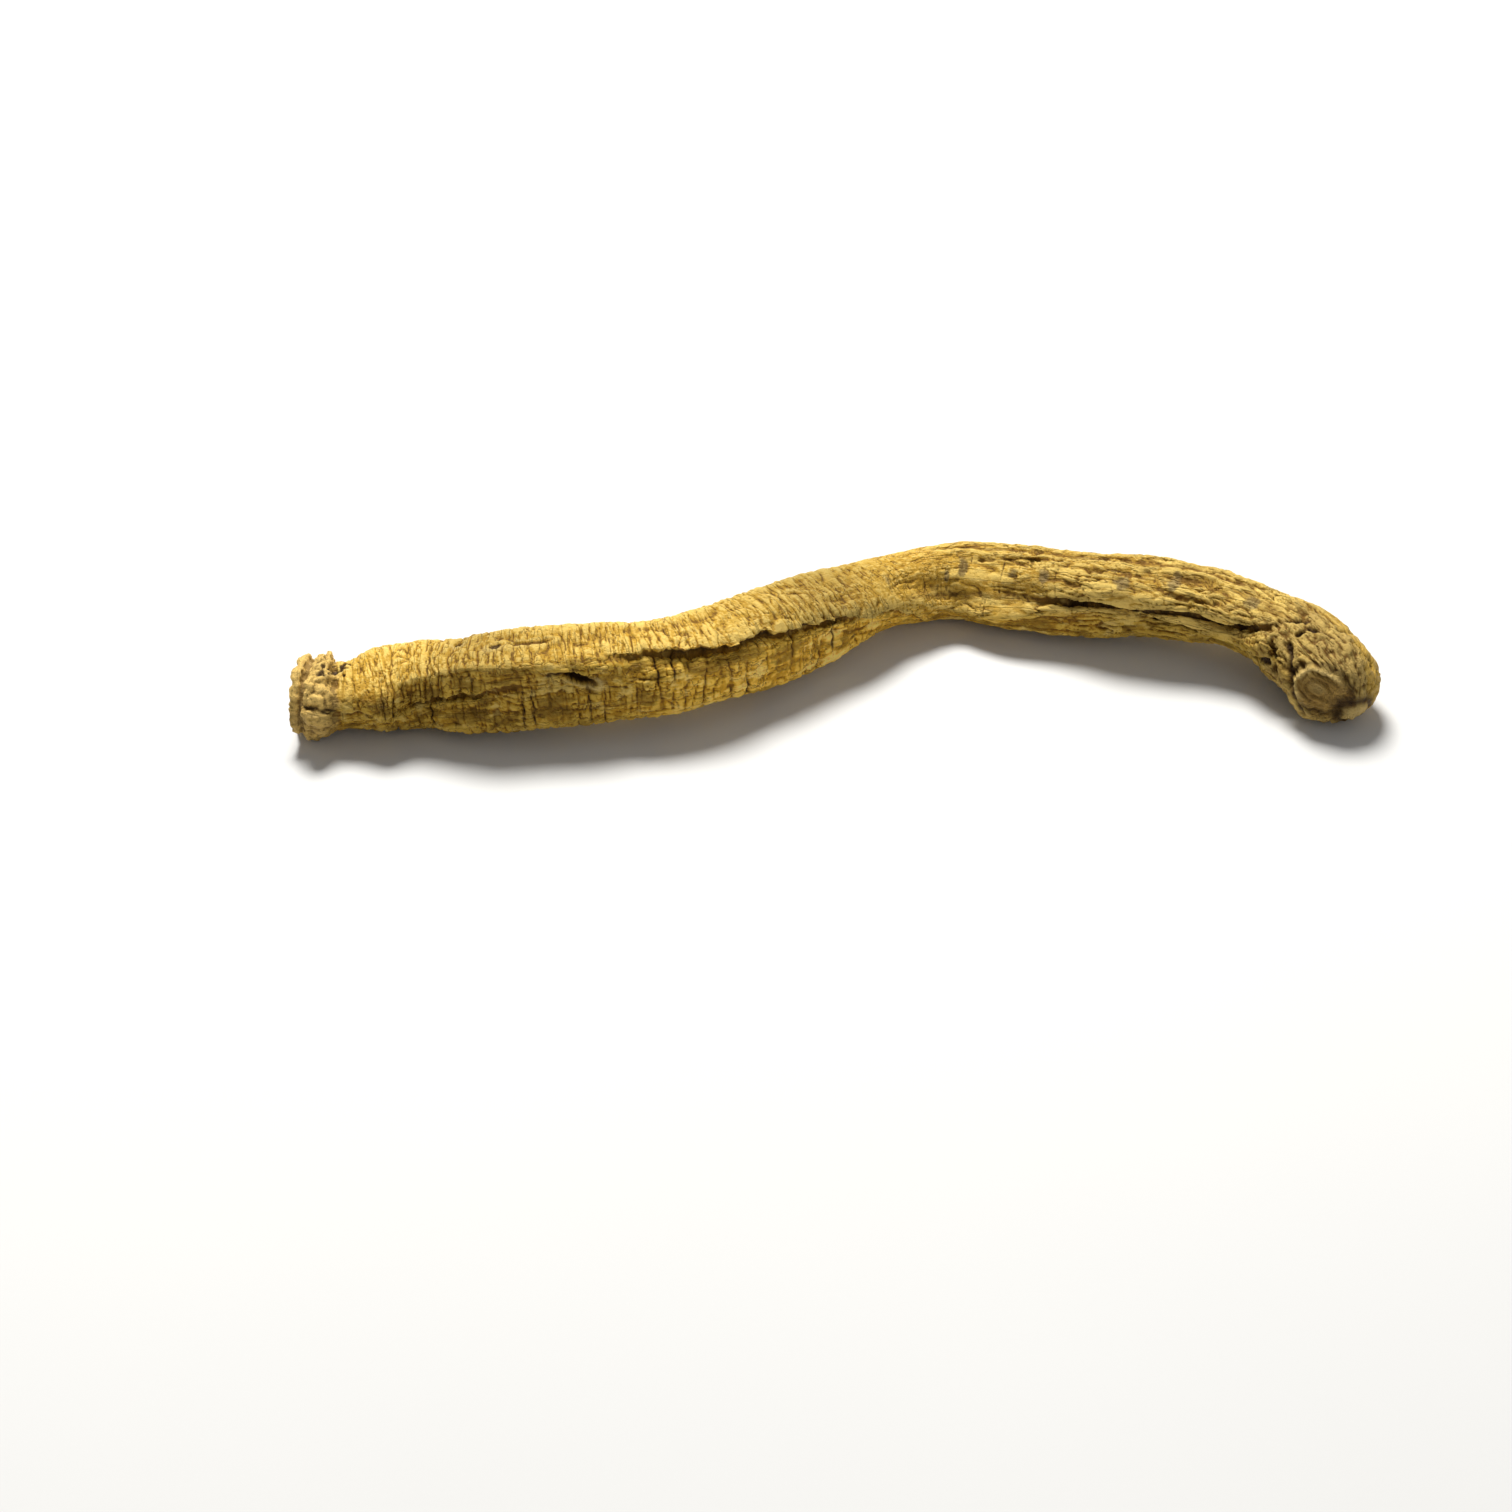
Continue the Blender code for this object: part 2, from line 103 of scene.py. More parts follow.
# Slow lumps of the section, as (share of the radius, length along the root, times round it, turn in radians).
LUMPS = [(0.030, 0.041, 2, 0.0), (0.025, 0.027, -3, 1.3), (0.015, 0.016, 1, 0.4)]

# Flat sides of the section: the angle that they face, and how far out they are, as a share of half the width.
FACETS = [
    Facet(0.009, 0.056, 0.010, 168, 0.73),
    Facet(0.046, 0.104, 0.014, 186, 0.82),
    Facet(0.120, 0.172, 0.014, 178, 0.84),
]
FACET_ROUNDING = 0.0005
FACET_LEAST_COSINE = 0.2

# Long folds. The lip is how far the upper side's edge leans over the fold.
FOLDS = [
    # The lower front fold, by the crown.
    Fold(0.001, 0.035, 0.009, 0.0017, 0.0009, 0.0010, 0.0008,
         [(0.005, 171), (0.012, 177), (0.018, 168), (0.024, 164), (0.029, 157), (0.038, 152)]),
    # The long front fold, which starts above the front and runs down out of sight at the knee.
    Fold(0.044, 0.109, 0.015, 0.0016, 0.0009, 0.0010, 0.0010,
         [(0.044, 117), (0.050, 123), (0.056, 123), (0.063, 134), (0.071, 133), (0.077, 143),
          (0.084, 147), (0.090, 160), (0.098, 172), (0.103, 194), (0.108, 224)]),
    # The broad front hollow past the knee.
    Fold(0.092, 0.142, 0.016, 0.0009, 0.0023, 0.0000, 0.0,
         [(0.098, 140), (0.105, 146), (0.115, 163), (0.1235, 156), (0.132, 154)]),
    # The upper and the lower front fold of the tail half, and the one that parts the scarred end from it.
    Fold(0.128, 0.174, 0.009, 0.0017, 0.0008, 0.0005, 0.0005,
         [(0.130, 160), (0.139, 159), (0.145, 163), (0.155, 157), (0.161, 164), (0.168, 147), (0.175, 112)]),
    Fold(0.142, 0.175, 0.008, 0.0019, 0.0009, 0.0008, 0.0006,
         [(0.140, 178), (0.156, 186), (0.160, 196), (0.166, 190), (0.170, 186), (0.176, 168)]),
    Fold(0.1718, 0.1825, 0.003, 0.0021, 0.0009, 0.0002, 0.0002,
         [(0.1725, 143), (0.1735, 150), (0.176, 170), (0.178, 190), (0.182, 212)]),
    # The folds of the back and the underside.
    Fold(0.010, 0.122, 0.012, 0.0028, 0.0012, -0.0009, -0.0006,
         [(0.010, -8), (0.040, -22), (0.075, -14), (0.105, -30), (0.125, -42)]),
    Fold(0.020, 0.142, 0.012, 0.0022, 0.0012, 0.0006, 0.0004,
         [(0.020, 262), (0.050, 284), (0.085, 270), (0.115, 292), (0.145, 300)]),
    Fold(0.114, 0.178, 0.012, 0.0020, 0.0010, 0.0004, 0.0003,
         [(0.115, 18), (0.140, 6), (0.160, 14), (0.178, 2)]),
]
# How much of a fold's depth is a sharp core, and the core's width as a share of the fold's.
SHARPNESS = 0.75
FOLD_CORE = 0.30
# How steep a fold's wall is: the fine skin's is steeper than the solid's.
WALL_STEEPNESS = 4
# The painted shade in the core of an overhung fold: how dark, and the powers of its fade along the fold and
# out from the core.
FOLD_SHADE = (0.90, 3, 1.5)
# Beside a fold, in widths of it: where the lip is pulled over, and the edges that get painted highlight and
# less painted shade (place, width, share).
LIP_PULL = (1.1, 0.9)
LIP_HIGHLIGHT_EDGES = [(-1.3, 0.9, 1.0), (1.1, 0.9, 1.3)]
LEAST_HIGHLIGHT_OVERHANG = 0.0003
# The kinks of a fold's crumpled edge: (degrees, length, turn from fold to fold, how fast they fade).
KINKS = [(2.0, 0.0083, 1.7, 1), (1.3, 0.0037, 2.9, 2), (0.7, 0.0016, 4.1, 2)]
KINKS_FEWER = 0.6
KINKS_FADE = (0.095, 0.130)
# How the lobes on a fold's two sides step out and in: a share of the overhang, and how far it reaches.
LOBE_ABOVE = (0.6, 0.0040)
LOBE_BELOW = (1.5, 0.0070)

RIDGES = [
    # The edges between the bright upper face and the front, from the crown to the tail.
    Ridge(0.014, 0.052, 0.0008, 0.0017, [(0.016, 134), (0.028, 128), (0.040, 127), (0.050, 140)]),
    Ridge(0.096, 0.144, 0.0010, 0.0013,
          [(0.098, 168), (0.105, 172), (0.115, 184), (0.1235, 185), (0.132, 173), (0.142, 172)]),
    Ridge(0.147, 0.176, 0.0010, 0.0012, [(0.148, 174), (0.158, 180), (0.164, 176), (0.173, 154)]),
    # The ridges of the top and the back.
    Ridge(0.104, 0.166, 0.0006, 0.0010, [(0.100, 92), (0.125, 94), (0.150, 98), (0.166, 92)]),
    Ridge(0.108, 0.176, 0.0007, 0.0013, [(0.104, 66), (0.130, 72), (0.155, 68), (0.176, 78)]),
    Ridge(0.018, 0.098, 0.0006, 0.0016, [(0.016, 60), (0.045, 66), (0.080, 58), (0.104, 62)]),
    Ridge(0.034, 0.150, 0.0007, 0.0019, [(0.030, 318), (0.070, 326), (0.110, 318), (0.150, 326)]),
]
RIDGE_FADE = 0.010

RING_SPACING = 0.0027
RINGS_START = 0.0075
RINGS_END = 0.122
RING_LEAN = 0.0010
RING_WANDER = 0.0004
WANDER_LENGTH = 0.004
WANDERS_ROUND = 9
RING_SEED = 7
RING_SHARES = (0.6, 1.0)
RING_GAPS = (0.65, 1.35)
RING_REACH = (-0.75, 0.5)
# Past these places the rings are further apart, and fainter.
RINGS_WIDER_FROM = 0.085
RINGS_WIDER = 0.6
RINGS_FADE = (0.080, 0.110)
RINGS_FAINTER = 0.75

WRINKLE_LENGTH = 0.011
WRINKLES_ROUND = 20
WRINKLE_DEPTH = 0.00060
WRINKLE_SHARPNESS = 0.22
WRINKLE_SEED = 21
# The share of this depth in the crown half, where it grows, and where most of it fades on the tail's end.
WRINKLE_LEAST = 0.15
WRINKLE_GROWTH = (0.110, 0.145)
WRINKLE_FADE = (0.172, 0.182)
WRINKLE_FADED = 0.8

COLLAR_END = 0.0028
COLLAR_GROOVE_DEPTH = 0.0009
COLLAR_GROOVE_WIDTH = 0.0007
COLLAR_GROOVE_ANGLE = 95
COLLAR_GROOVE_REACH = (-0.6, 0.6)
COLLAR_FADE = 0.0015
WART_SIZE = 0.0021
WARTS_ROUND = 20
WART_HEIGHT = 0.00050
WART_SEED = 5
RIM_HEIGHT = 0.0009
RIM_SHARE = 0.14
RIM_WIDTH = 0.17
RIM_WARTS = 0.7
FACE_SINK = 0.0032
FACE_SLOPE = (0.25, 0.8)
FACE_SIZE = 0.012
FACE_NARROWING = 1.3
KNOB = Knob(0.0006, 171, 0.0015, 0.0017)

TAIL_DEPTH = 0.0072
TAIL_REACH = 0.0125
# The tail's end is cut off flat on the side that faces this way, this far from its middle.
END_FACING = (-0.17, -0.98, 0.06)
END_DISTANCE = 0.0060
END_ROUNDING = 0.0004
END_SHARE = 0.85
END_EDGE = (-0.0002, 0.0006)
# A scar's axis points out from the end's middle. Places on it are shares of its size.
SCARS = [
    Scar((-0.510, -0.808, 0.295), 0.0041, 0.0033, 0.0010, 0.0, 0.16),
    Scar((0.460, -0.812, -0.360), 0.0021, 0.0019, 0.0006, 1.0, 0.80),
]
SCAR_FACING = 0.3
SCAR_REACH = 0.012
SCAR_RAGGED = (0.13, 0.0018)
STUB_EDGE = (0.80, 1.10)
STUB_FLATNESS = 0.70
STUB_LEVEL = (0.5, 0.4)
# The parts of a scar: place and width. Then the height of each, as a share of the scar's.
SCAR_RIM = (0.95, 0.09)
SCAR_MOAT = (1.25, 0.14)
SCAR_RING = (1.22, 0.16)
SCAR_RIM_SIDE = (-0.5, 0.4)
RIM_RISE, MOAT_SINK, CIRCLE_RISE = 0.32, 0.35, 0.22
CIRCLES = 20
# The colour shares of a scar: its pale core and middle, the fine circles, and the dark ring round it, which
# is painted shade over its moat and round it.
SCAR_CORE = (0.6, 0.30)
SCAR_MIDDLE = (0.8, 1.0)
CIRCLE_SHARE = 0.36
RING_SHADE, PALE_RING_SHADE = 0.55, 0.20
# The end's far flank is smooth and golden: the way that it faces, and how far out it begins and is whole.
FLANK_FACING = (0.91, 0.40, -0.10)
FLANK_START = 0.0018
FLANK_WHOLE = 0.0030

# The fine skin: its rows of points, closer on the ringed half, and its columns, closer on top and in front.
ROWS_RINGED = 505
ROWS_TAIL = 235
RINGED_END = 0.118
COLUMNS = 128
# The random grids reach past the root's length. Its direction is taken over a step to each side.
LONGEST = 0.22
DIRECTION_STEP = 0.0005
SMALLEST_LENGTH = 1e-12
OUTLINE_SAMPLES = 360
SHOWN_ANGLE = 145
SHOWN_SPREAD = 105
SHOWN_DENSITY = 2.6
CAP_ROWS = 16
# The unrolled skin lies on this many tiles each way, with a margin that is a share of a tile.
BAKE_TILES = 2
BAKE_MARGIN = 0.01

# Cracks round the root: the shallow hollow of a main crack, its sharp core, and the smaller cracks between.
HOLLOW_DEPTH = 0.00014
HOLLOW_WIDTH = 0.00055
CORE_DEPTH = 0.00066
CORE_WIDTH = 0.00015
CORE_JITTER = 0.00018
CORES_BROKEN = (-0.45, 0.05)
# The share of a core on the upper face and in a shallow ring, and the depths between shallow and deep.
TOP_CORE = 0.50
SHALLOW_CORE = 0.50
DEEP_RING = (0.66, 0.90)
SMALL_CRACK_SPACING = 0.000425
SMALL_CRACK_DEPTH = 0.00020
SMALL_CRACK_WIDTH = 0.00013
SMALL_CRACK_GAPS = (0.5, 1.5)
SMALL_CRACK_SPREADS = (15, 60)
SMALL_CRACK_SHARES = (0.4, 1.0)
SMALL_CRACK_ARC = 0.6
SMALL_CRACK_LEAN = 0.0006
SMALL_CRACK_WANDER = 0.00030
SMALL_CRACK_JITTER = 0.00012
SMALL_CRACK_REACH = 0.0030
SMALL_CRACKS_START = 0.0038
SMALL_CRACKS_END = 0.150
SMALL_CRACKS_THIN_OUT = (0.090, 0.120)
SMALL_CRACKS_WIDER = 3
SMALL_CRACK_SEED = 11

# Natural noises, as (cell along the root, cell round it, seed).
NOISE_GAIN = 2.0
NOISE_SHIFT = 7.31
EDGE_RAGS = (0.0030, 0.0030, 81)
CORE_RAGS = (0.0030, 0.0012, 2)
CORE_BREAKS = (0.0040, 0.0045, 3)
SMALL_CRACK_WAVES = (0.004, 0.004, 5)
SMALL_CRACK_RAGS = (0.002, 0.001, 6)
PUCKER_WAVES = (0.0045, 0.0035)
PUCKER_PATCHES = (0.0060, 0.0045)
PLEAT_CELLS = (0.00105, 0.0090, 51)
COLLAR_RAGS = (0.002, 0.002, 61)
BARK_PATCHES = (0.0070, 0.0035, 62)
LUMP_CELLS = (0.0015, 0.0020, 63)
SMALL_LUMP_CELLS = (0.00075, 0.00085, 64)
KNOT_CELLS = (0.0060, 0.0024, 65)
SPOT_RAGS = (0.0012, 0.0012, 71)
MARK_CELLS = (0.0007, 0.0030, 72)
BURNT_RAGS = (0.0009, 0.0009, 73)
CREVICE_RAGS = (0.0014, 0.0014, 91)

# The edge between the bright upper face and the front, along the root: (place, angle).
MEAN_RADIUS = 0.0082
FRONT_EDGE = [
    (0.000, 150),
    (0.016, 134),
    (0.028, 128),
    (0.044, 119),
    (0.056, 123),
    (0.071, 133),
    (0.084, 147),
    (0.098, 170),
    (0.112, 183),
    (0.142, 174),
    (0.158, 178),
    (0.174, 154),
    (0.185, 150),
]
FRONT_RAGGED = 0.0006
# The front's share grows past its upper edge, and falls again underneath.
FRONT_GROWTH = (-0.0010, 0.0020)
FRONT_FADE = (0.018, 0.024)
# How light the skin is along the root, on the upper face and on the front: (place, share of the full colour).
# This is partly the skin's own colour and partly painted light and shade.
TOP_TONE_AND_LIGHT = [
    (0.000, 1.08),
    (0.014, 1.20),
    (0.027, 0.78),
    (0.040, 1.04),
    (0.053, 1.14),
    (0.074, 0.92),
    (0.088, 0.68),
    (0.105, 1.08),
    (0.130, 0.96),
    (0.160, 1.06),
    (0.185, 0.94),
]
FRONT_TONE_AND_LIGHT = [
    (0.000, 0.76),
    (0.026, 0.80),
    (0.046, 0.86),
    (0.062, 1.26),
    (0.080, 1.38),
    (0.110, 1.26),
    (0.140, 0.86),
    (0.165, 0.88),
    (0.185, 0.92),
]

# Puckers of the dry skin, each with a depth on the crown half's top, on its front, and on the tail half.
PUCKERS = [
    Pucker(0.0013, 0.0065, 0.00036, 0.00030, 0.00004, 0.28),
    Pucker(0.0007, 0.0032, 0.00013, 0.00008, 0.00003, 0.35),
    Pucker(0.0095, 0.0014, 0.00006, 0.00028, 0.00052, 0.28),
    Pucker(0.0042, 0.0008, 0.00004, 0.00020, 0.00030, 0.33),
    Pucker(0.0020, 0.0016, 0.00020, 0.00008, 0.00012, 0.45),
    Pucker(0.0010, 0.0008, 0.00009, 0.00004, 0.00007, 0.50),
    Pucker(0.0032, 0.0030, 0.00026, 0.00022, 0.00024, 0.80),
]
PUCKER_SEED = 31
PUCKER_PATCH_SEED = 41
WARP_SEED = 21
WARP = 0.0005
PUCKER_MEAN = 0.75
PUCKER_LIMITS = (0.05, 1.6)
TAIL_GROWTH = (0.080, 0.120)
# The skin is calmer on the outside of the bend: place, reach and share.
KNEE = (0.112, 0.016, 0.45)
# Where the skin is pleated like an accordion, next to the edges of the front folds.
PLEATS = [
    Spot(0.0215, 152, 0.0085, 0.0032, 6, 0.00060),
    Spot(0.0330, 140, 0.0060, 0.0026, 10, 0.00030),
    Spot(0.0640, 118, 0.0100, 0.0028, 0, 0.00028),
    Spot(0.0860, 128, 0.0090, 0.0026, 0, 0.00024),
]
PLEAT_EDGE = (0.5, 1.2)
SHARP_CREASE = 0.5

# The slit, the dents and the dark pits that the photo shows on the crown half.
PITS = [
    Spot(0.0422, 149, 0.0026, 0.00072, -24, 0.0018),
    Spot(0.0355, 89, 0.0034, 0.0006, 4, 0.0005, 0.25),
    Spot(0.0242, 80, 0.0007, 0.0008, 20, 0.0004, 0.75),
    Spot(0.0302, 94, 0.0012, 0.0007, 30, 0.0004, 0.6),
    Spot(0.0700, 20, 0.0010, 0.0006, 30, 0.0005, 0.7),
    Spot(0.0560, 300, 0.0014, 0.0006, -20, 0.0006, 0.8),
]
PIT_RAGGED = 0.12
PIT_SLOPE = (0.55, 1.15)
# A pit's darkness is partly its own and partly painted shade in the hollow; the slit is painted near black
# inside.
PIT_DARK_EDGE = (0.75, 1.05)
# The raised edge round a pit, and the pale rim below it: (place, width).
PIT_LIP = (1.35, 0.25)
PIT_LIP_HEIGHT = 0.00022
PIT_RIM = (1.50, 0.38)
PIT_RIM_SIDE = 0.0006
# Burnt, ragged patches beside the collar and on top.
BURNT = [
    Spot(0.0034, 84, 0.0012, 0.0013, 20, 0.0004),
    Spot(0.0044, 72, 0.0011, 0.0015, -30, 0.0004),
    Spot(0.0014, 100, 0.0008, 0.0012, 0, 0.0003, 0.8),
]
BURNT_RAGGED = 0.9
BURNT_EDGE = (0.6, 1.2)
# Soft hollows, and the thin crevices of the tail half and of its end, darkened as painted shade. A course is
# (place, angle) points.
CREVICE_RAGGED = 0.00022
CREVICES = [
    Crevice([(0.1005, 158), (0.1085, 162), (0.1140, 166), (0.1235, 161), (0.1350, 156)],
            0.00110, 0.00000, 0.47),
    Crevice([(-0.0006, 158), (0.0012, 157), (0.0027, 166)], 0.00030, 0.00050, 0.7),
    Crevice([(0.1340, 162), (0.1390, 161), (0.1450, 165), (0.1550, 160), (0.1610, 166), (0.1680, 150)],
            0.00028, 0.00036, 0.74),
    Crevice([(0.1490, 182), (0.1560, 187), (0.1600, 195), (0.1660, 190), (0.1700, 186), (0.1750, 172)],
            0.00045, 0.00070, 1.0),
    Crevice([(0.0402, 141), (0.0378, 143)], 0.00026, 0.00030, 0.7),
    Crevice([(0.0470, 165), (0.0495, 166)], 0.00024, 0.00030, 0.6),
    Crevice([(0.0509, 155), (0.0547, 158), (0.0560, 154)], 0.00026, 0.00030, 0.5),
    Crevice([(0.1765, 138), (0.1788, 151), (0.1824, 177), (0.1850, 205)], 0.00070, 0.00070, 0.8),
    Crevice([(0.1100, 78), (0.1180, 78)], 0.00035, 0.00045, 0.4),
    Crevice([(0.1185, 106), (0.1250, 101), (0.1330, 95)], 0.00030, 0.00040, 0.4),
    Crevice([(0.1715, 121), (0.1735, 106), (0.1748, 92)], 0.00040, 0.00090, 0.9),
    Crevice([(0.1748, 97), (0.1762, 110), (0.1760, 122)], 0.00035, 0.00080, 0.8),
    Crevice([(0.1762, 102), (0.1785, 92), (0.1806, 87)], 0.00040, 0.00080, 0.9),
    Crevice([(0.1792, 69), (0.1800, 51), (0.1790, 36)], 0.00050, 0.00080, 0.7),
    Crevice([(0.1825, 62), (0.1850, 55), (0.1868, 41)], 0.00050, 0.00080, 0.6),
]
# Grey corky marks across the top of the tail half.
MARKS = [
    Spot(0.0982, 120, 0.0008, 0.0011, dark=0.6),
    Spot(0.1116, 138, 0.0009, 0.0013, dark=0.9),
    Spot(0.1157, 122, 0.0010, 0.0020, dark=1.0),
    Spot(0.1250, 124, 0.0008, 0.0010, dark=0.6),
    Spot(0.1303, 124, 0.0010, 0.0014, dark=0.8),
    Spot(0.1434, 128, 0.0013, 0.0016, dark=1.0),
    Spot(0.1516, 118, 0.0010, 0.0020, dark=0.9),
    Spot(0.1650, 114, 0.0014, 0.0016, dark=0.9),
    Spot(0.1240, 20, 0.0009, 0.0014, dark=0.9),
    Spot(0.1420, 330, 0.0010, 0.0016, dark=0.9),
    Spot(0.1580, 60, 0.0010, 0.0013, dark=0.8),
]
MARK_RAGGED = 0.25
MARK_EDGE = (0.3, 1.6)
MARK_DEPTH = 0.00022

# The collar's crumbs, and the patchy bark of the tail's end, which grows between these places.
COLLAR_EDGE = (-0.0004, 0.0008)
COLLAR_RAGGED = 0.0006
BARK_GROWTH = (0.158, 0.187)
BARK_RAGGED = 0.008
LUMP_CREASE = 0.6
KNOT_CREASE = 0.45
LUMP_LEVEL = 0.6
COLLAR_LUMP, COLLAR_SMALL_LUMP = 0.00042, 0.00020
BARK_KNOT, BARK_LUMP, BARK_SMALL_LUMP = 0.00052, 0.00016, 0.00012
# A groove round the upper side of the collar: place, half width, depth and the angle of its middle.
RIM_GROOVE = (-0.0012, 0.00040, 0.0008, 100)
RIM_GROOVE_REACH = (0.2, 0.9)
FLANK_SMOOTHNESS = 0.85
# How dark a crack's sharp core is, and a small crack: partly the crack's own dark, partly painted shade in
# it.
CORE_DARK, SMALL_CRACK_DARK = 1.05, 0.60

# Hollows and crests are told from the mean of the points near by and further off: (rows, height, share). This
# sets the painted shade in the hollows and the painted highlight on the crests.
NEAR_HOLLOWS = (1, 0.00006, 0.22)
WIDE_HOLLOWS = (4, 0.00034, 0.80)
# How much painted highlight is laid beside each fold's lip, lessening the painted shade there.
LIP_HIGHLIGHT = 0.40
# The fine relief fades out over this many rows at the two tips, to this share.
TIP_ROWS = 3
TIP_SHARE = 0.1

# The photo's viewing angle.
CAMERA_ELEVATION = 38
CAMERA_DISTANCE = 0.5743
CAMERA_LENS = 86.5
CAMERA_AIM = (-0.01325, -0.0305, 0.0059)


def eased(stations, at):
    """The value at each place of a smooth curve through (place, value) stations."""
    place, value = np.array(stations, float).T
    slope = np.gradient(value, place)
    i = np.clip(np.searchsorted(place, at) - 1, 0, len(place) - 2)
    gap = place[i + 1] - place[i]
    t = np.clip((at - place[i]) / gap, 0, 1)
    return (
        (1 + 2 * t) * (1 - t) ** 2 * value[i]
        + t * (1 - t) ** 2 * gap * slope[i]
        + t * t * (3 - 2 * t) * value[i + 1]
        + t * t * (t - 1) * gap * slope[i + 1]
    )


def ramp(low, high, at):
    """0 below low, 1 above high, and smooth between."""
    t = np.clip((at - low) / (high - low), 0, 1)
    return t * t * (3 - 2 * t)


def bell(distance, width):
    return np.exp(-((distance / width) ** 2))


def patches(at, angle, length, around, seed):
    """Smooth random values from -1 to 1, with a cell each length along the root and some cells round it."""
    rows = int(LONGEST / length) + 4
    lattice = np.random.RandomState(seed).uniform(-1, 1, (rows, around))
    along = at / length + 1
    turn = (angle % 360) / 360 * around
    i = np.clip(np.floor(along).astype(int), 0, rows - 2)
    j = np.floor(turn).astype(int) % around
    after = (j + 1) % around
    u, v = ramp(0, 1, along - i), ramp(0, 1, turn - np.floor(turn))
    near = lattice[i, j] * (1 - v) + lattice[i, after] * v
    far = lattice[i + 1, j] * (1 - v) + lattice[i + 1, after] * v
    return near * (1 - u) + far * u


def middle_line():
    """The place of each point of the middle line, and its points."""
    points = np.array(MIDDLE_LINE)
    steps = np.linalg.norm(np.diff(points, axis=0), axis=1)
    return CROWN_START + np.concatenate([[0], np.cumsum(steps)]), points


def on_line(at):
    """The middle of the root at each place, on the middle line with its corners rounded off."""
    places, points = middle_line()
    stations = [list(zip(places, points[:, k])) for k in range(3)]
    reach = np.clip(np.minimum(at - places[0], places[-1] - at), 0, LINE_ROUNDING)
    total = 0
    for shift, weight in LINE_WEIGHTS:
        total = total + weight * np.stack([eased(one, at + shift * reach) for one in stations], axis=-1)
    return total


def frames(at, length):
    """At each place: the middle, and the directions sideways, up and forward along the root."""
    step = DIRECTION_STEP
    inside = np.clip(at, CROWN_START + step, length - step)
    forward = on_line(inside + step) - on_line(inside - step)
    forward /= np.linalg.norm(forward, axis=-1, keepdims=True)
    sideways = np.cross([0, 0, 1], forward)
    sideways /= np.linalg.norm(sideways, axis=-1, keepdims=True)
    return on_line(at), sideways, np.cross(forward, sideways), forward


def across(angle, course_angle, radius):
    """The distance round the skin from a course to each angle, growing with the angle."""
    turn = (angle - course_angle + 180) % 360 - 180
    return np.radians(turn) * radius


def share_along(line, at, fade):
    """1 along a fold, a facet or a ridge, falling to 0 at its two ends."""
    return ramp(line.start, line.start + fade, at) * (1 - ramp(line.end - fade, line.end, at))


def with_facets(at, angle, radius):
    """The radius with the flat sides of the section cut off it."""
    half_width = eased(HALF_WIDTH, at)
    for facet in FACETS:
        away = np.cos(np.radians(angle - facet.angle))
        over = radius - facet.share * half_width / np.maximum(away, FACET_LEAST_COSINE)
        over = (over + np.hypot(over, FACET_ROUNDING)) / 2
        radius = radius - over * share_along(facet, at, facet.fade) * (away > FACET_LEAST_COSINE)
    return radius


def plain_radius(at, angle):
    """The radius of the flattened section, with the slow lumps of a grown thing."""
    half_width = eased(HALF_WIDTH, at)
    half_height = half_width * eased(FLATNESS, at)
    turn = np.radians(angle - eased(ROLL, at))
    oval = half_width * half_height / np.hypot(half_height * np.cos(turn), half_width * np.sin(turn))
    lumps = 1
    for share, length, times_round, start in LUMPS:
        lumps = lumps + share * np.sin(2 * np.pi * at / length + np.radians(times_round * angle) + start)
    return with_facets(at, angle, oval * lumps)


def crinkled_course(fold, at, number):
    """A fold's course with the small kinks of a crumpled edge, in degrees, fewer towards the tail."""
    course = eased(fold.course, at)
    less = 1 - KINKS_FEWER * ramp(*KINKS_FADE, at)
    for size, length, turn, power in KINKS:
        course = course + less ** power * size * np.sin(2 * np.pi * at / length + turn * number)
    return course


def lip_highlight(fold, gone):
    """The painted highlight beside a fold that is overhung from above, which also lessens the painted shade
    there.
    """
    in_widths = gone / fold.width
    pale = sum(share * bell(in_widths - place, width) for place, width, share in LIP_HIGHLIGHT_EDGES)
    return pale * (fold.overhang > LEAST_HIGHLIGHT_OVERHANG)


def fold_relief(at, angle, radius):
    """How far the folds sink the skin and pull it round, the painted shade in their cores, and the painted
    highlight by a fold's lip.
    """
    sunk, pulled, inside, lip_light = (np.zeros_like(radius) for _ in range(4))
    dark, along_power, core_power = FOLD_SHADE
    for number, fold in enumerate(FOLDS):
        gone = across(angle, crinkled_course(fold, at, number), radius)
        share = share_along(fold, at, fold.fade)
        sharp = SHARPNESS if fold.overhang else 0
        core = np.exp(-np.abs(gone) / (FOLD_CORE * fold.width))
        groove = (1 - sharp) * bell(gone, fold.width) + sharp * core
        above = (gone < 0) == (fold.overhang > 0)
        lobe, reach = np.where(above[..., None], LOBE_ABOVE, LOBE_BELOW).transpose(2, 0, 1)
        step = -np.tanh(WALL_STEEPNESS * gone / fold.width) * lobe * bell(gone, reach)
        sunk += share * (fold.overhang * step - fold.depth * groove)
        side = math.copysign(LIP_PULL[0], fold.lip)
        pulled += share * fold.lip * bell(gone + side * fold.width, LIP_PULL[1] * fold.width)
        # An overhung fold's core is darkened as painted shade.
        if fold.overhang:
            inside = np.maximum(inside, dark * share ** along_power * core ** core_power)
        lip_light = np.maximum(lip_light, share * lip_highlight(fold, gone))
    return sunk, pulled, inside, lip_light


def ridge_relief(at, angle, radius):
    total = np.zeros_like(radius)
    for ridge in RIDGES:
        gone = across(angle, eased(ridge.course, at), radius)
        total += share_along(ridge, at, RIDGE_FADE) * ridge.height * bell(gone, ridge.width)
    return total


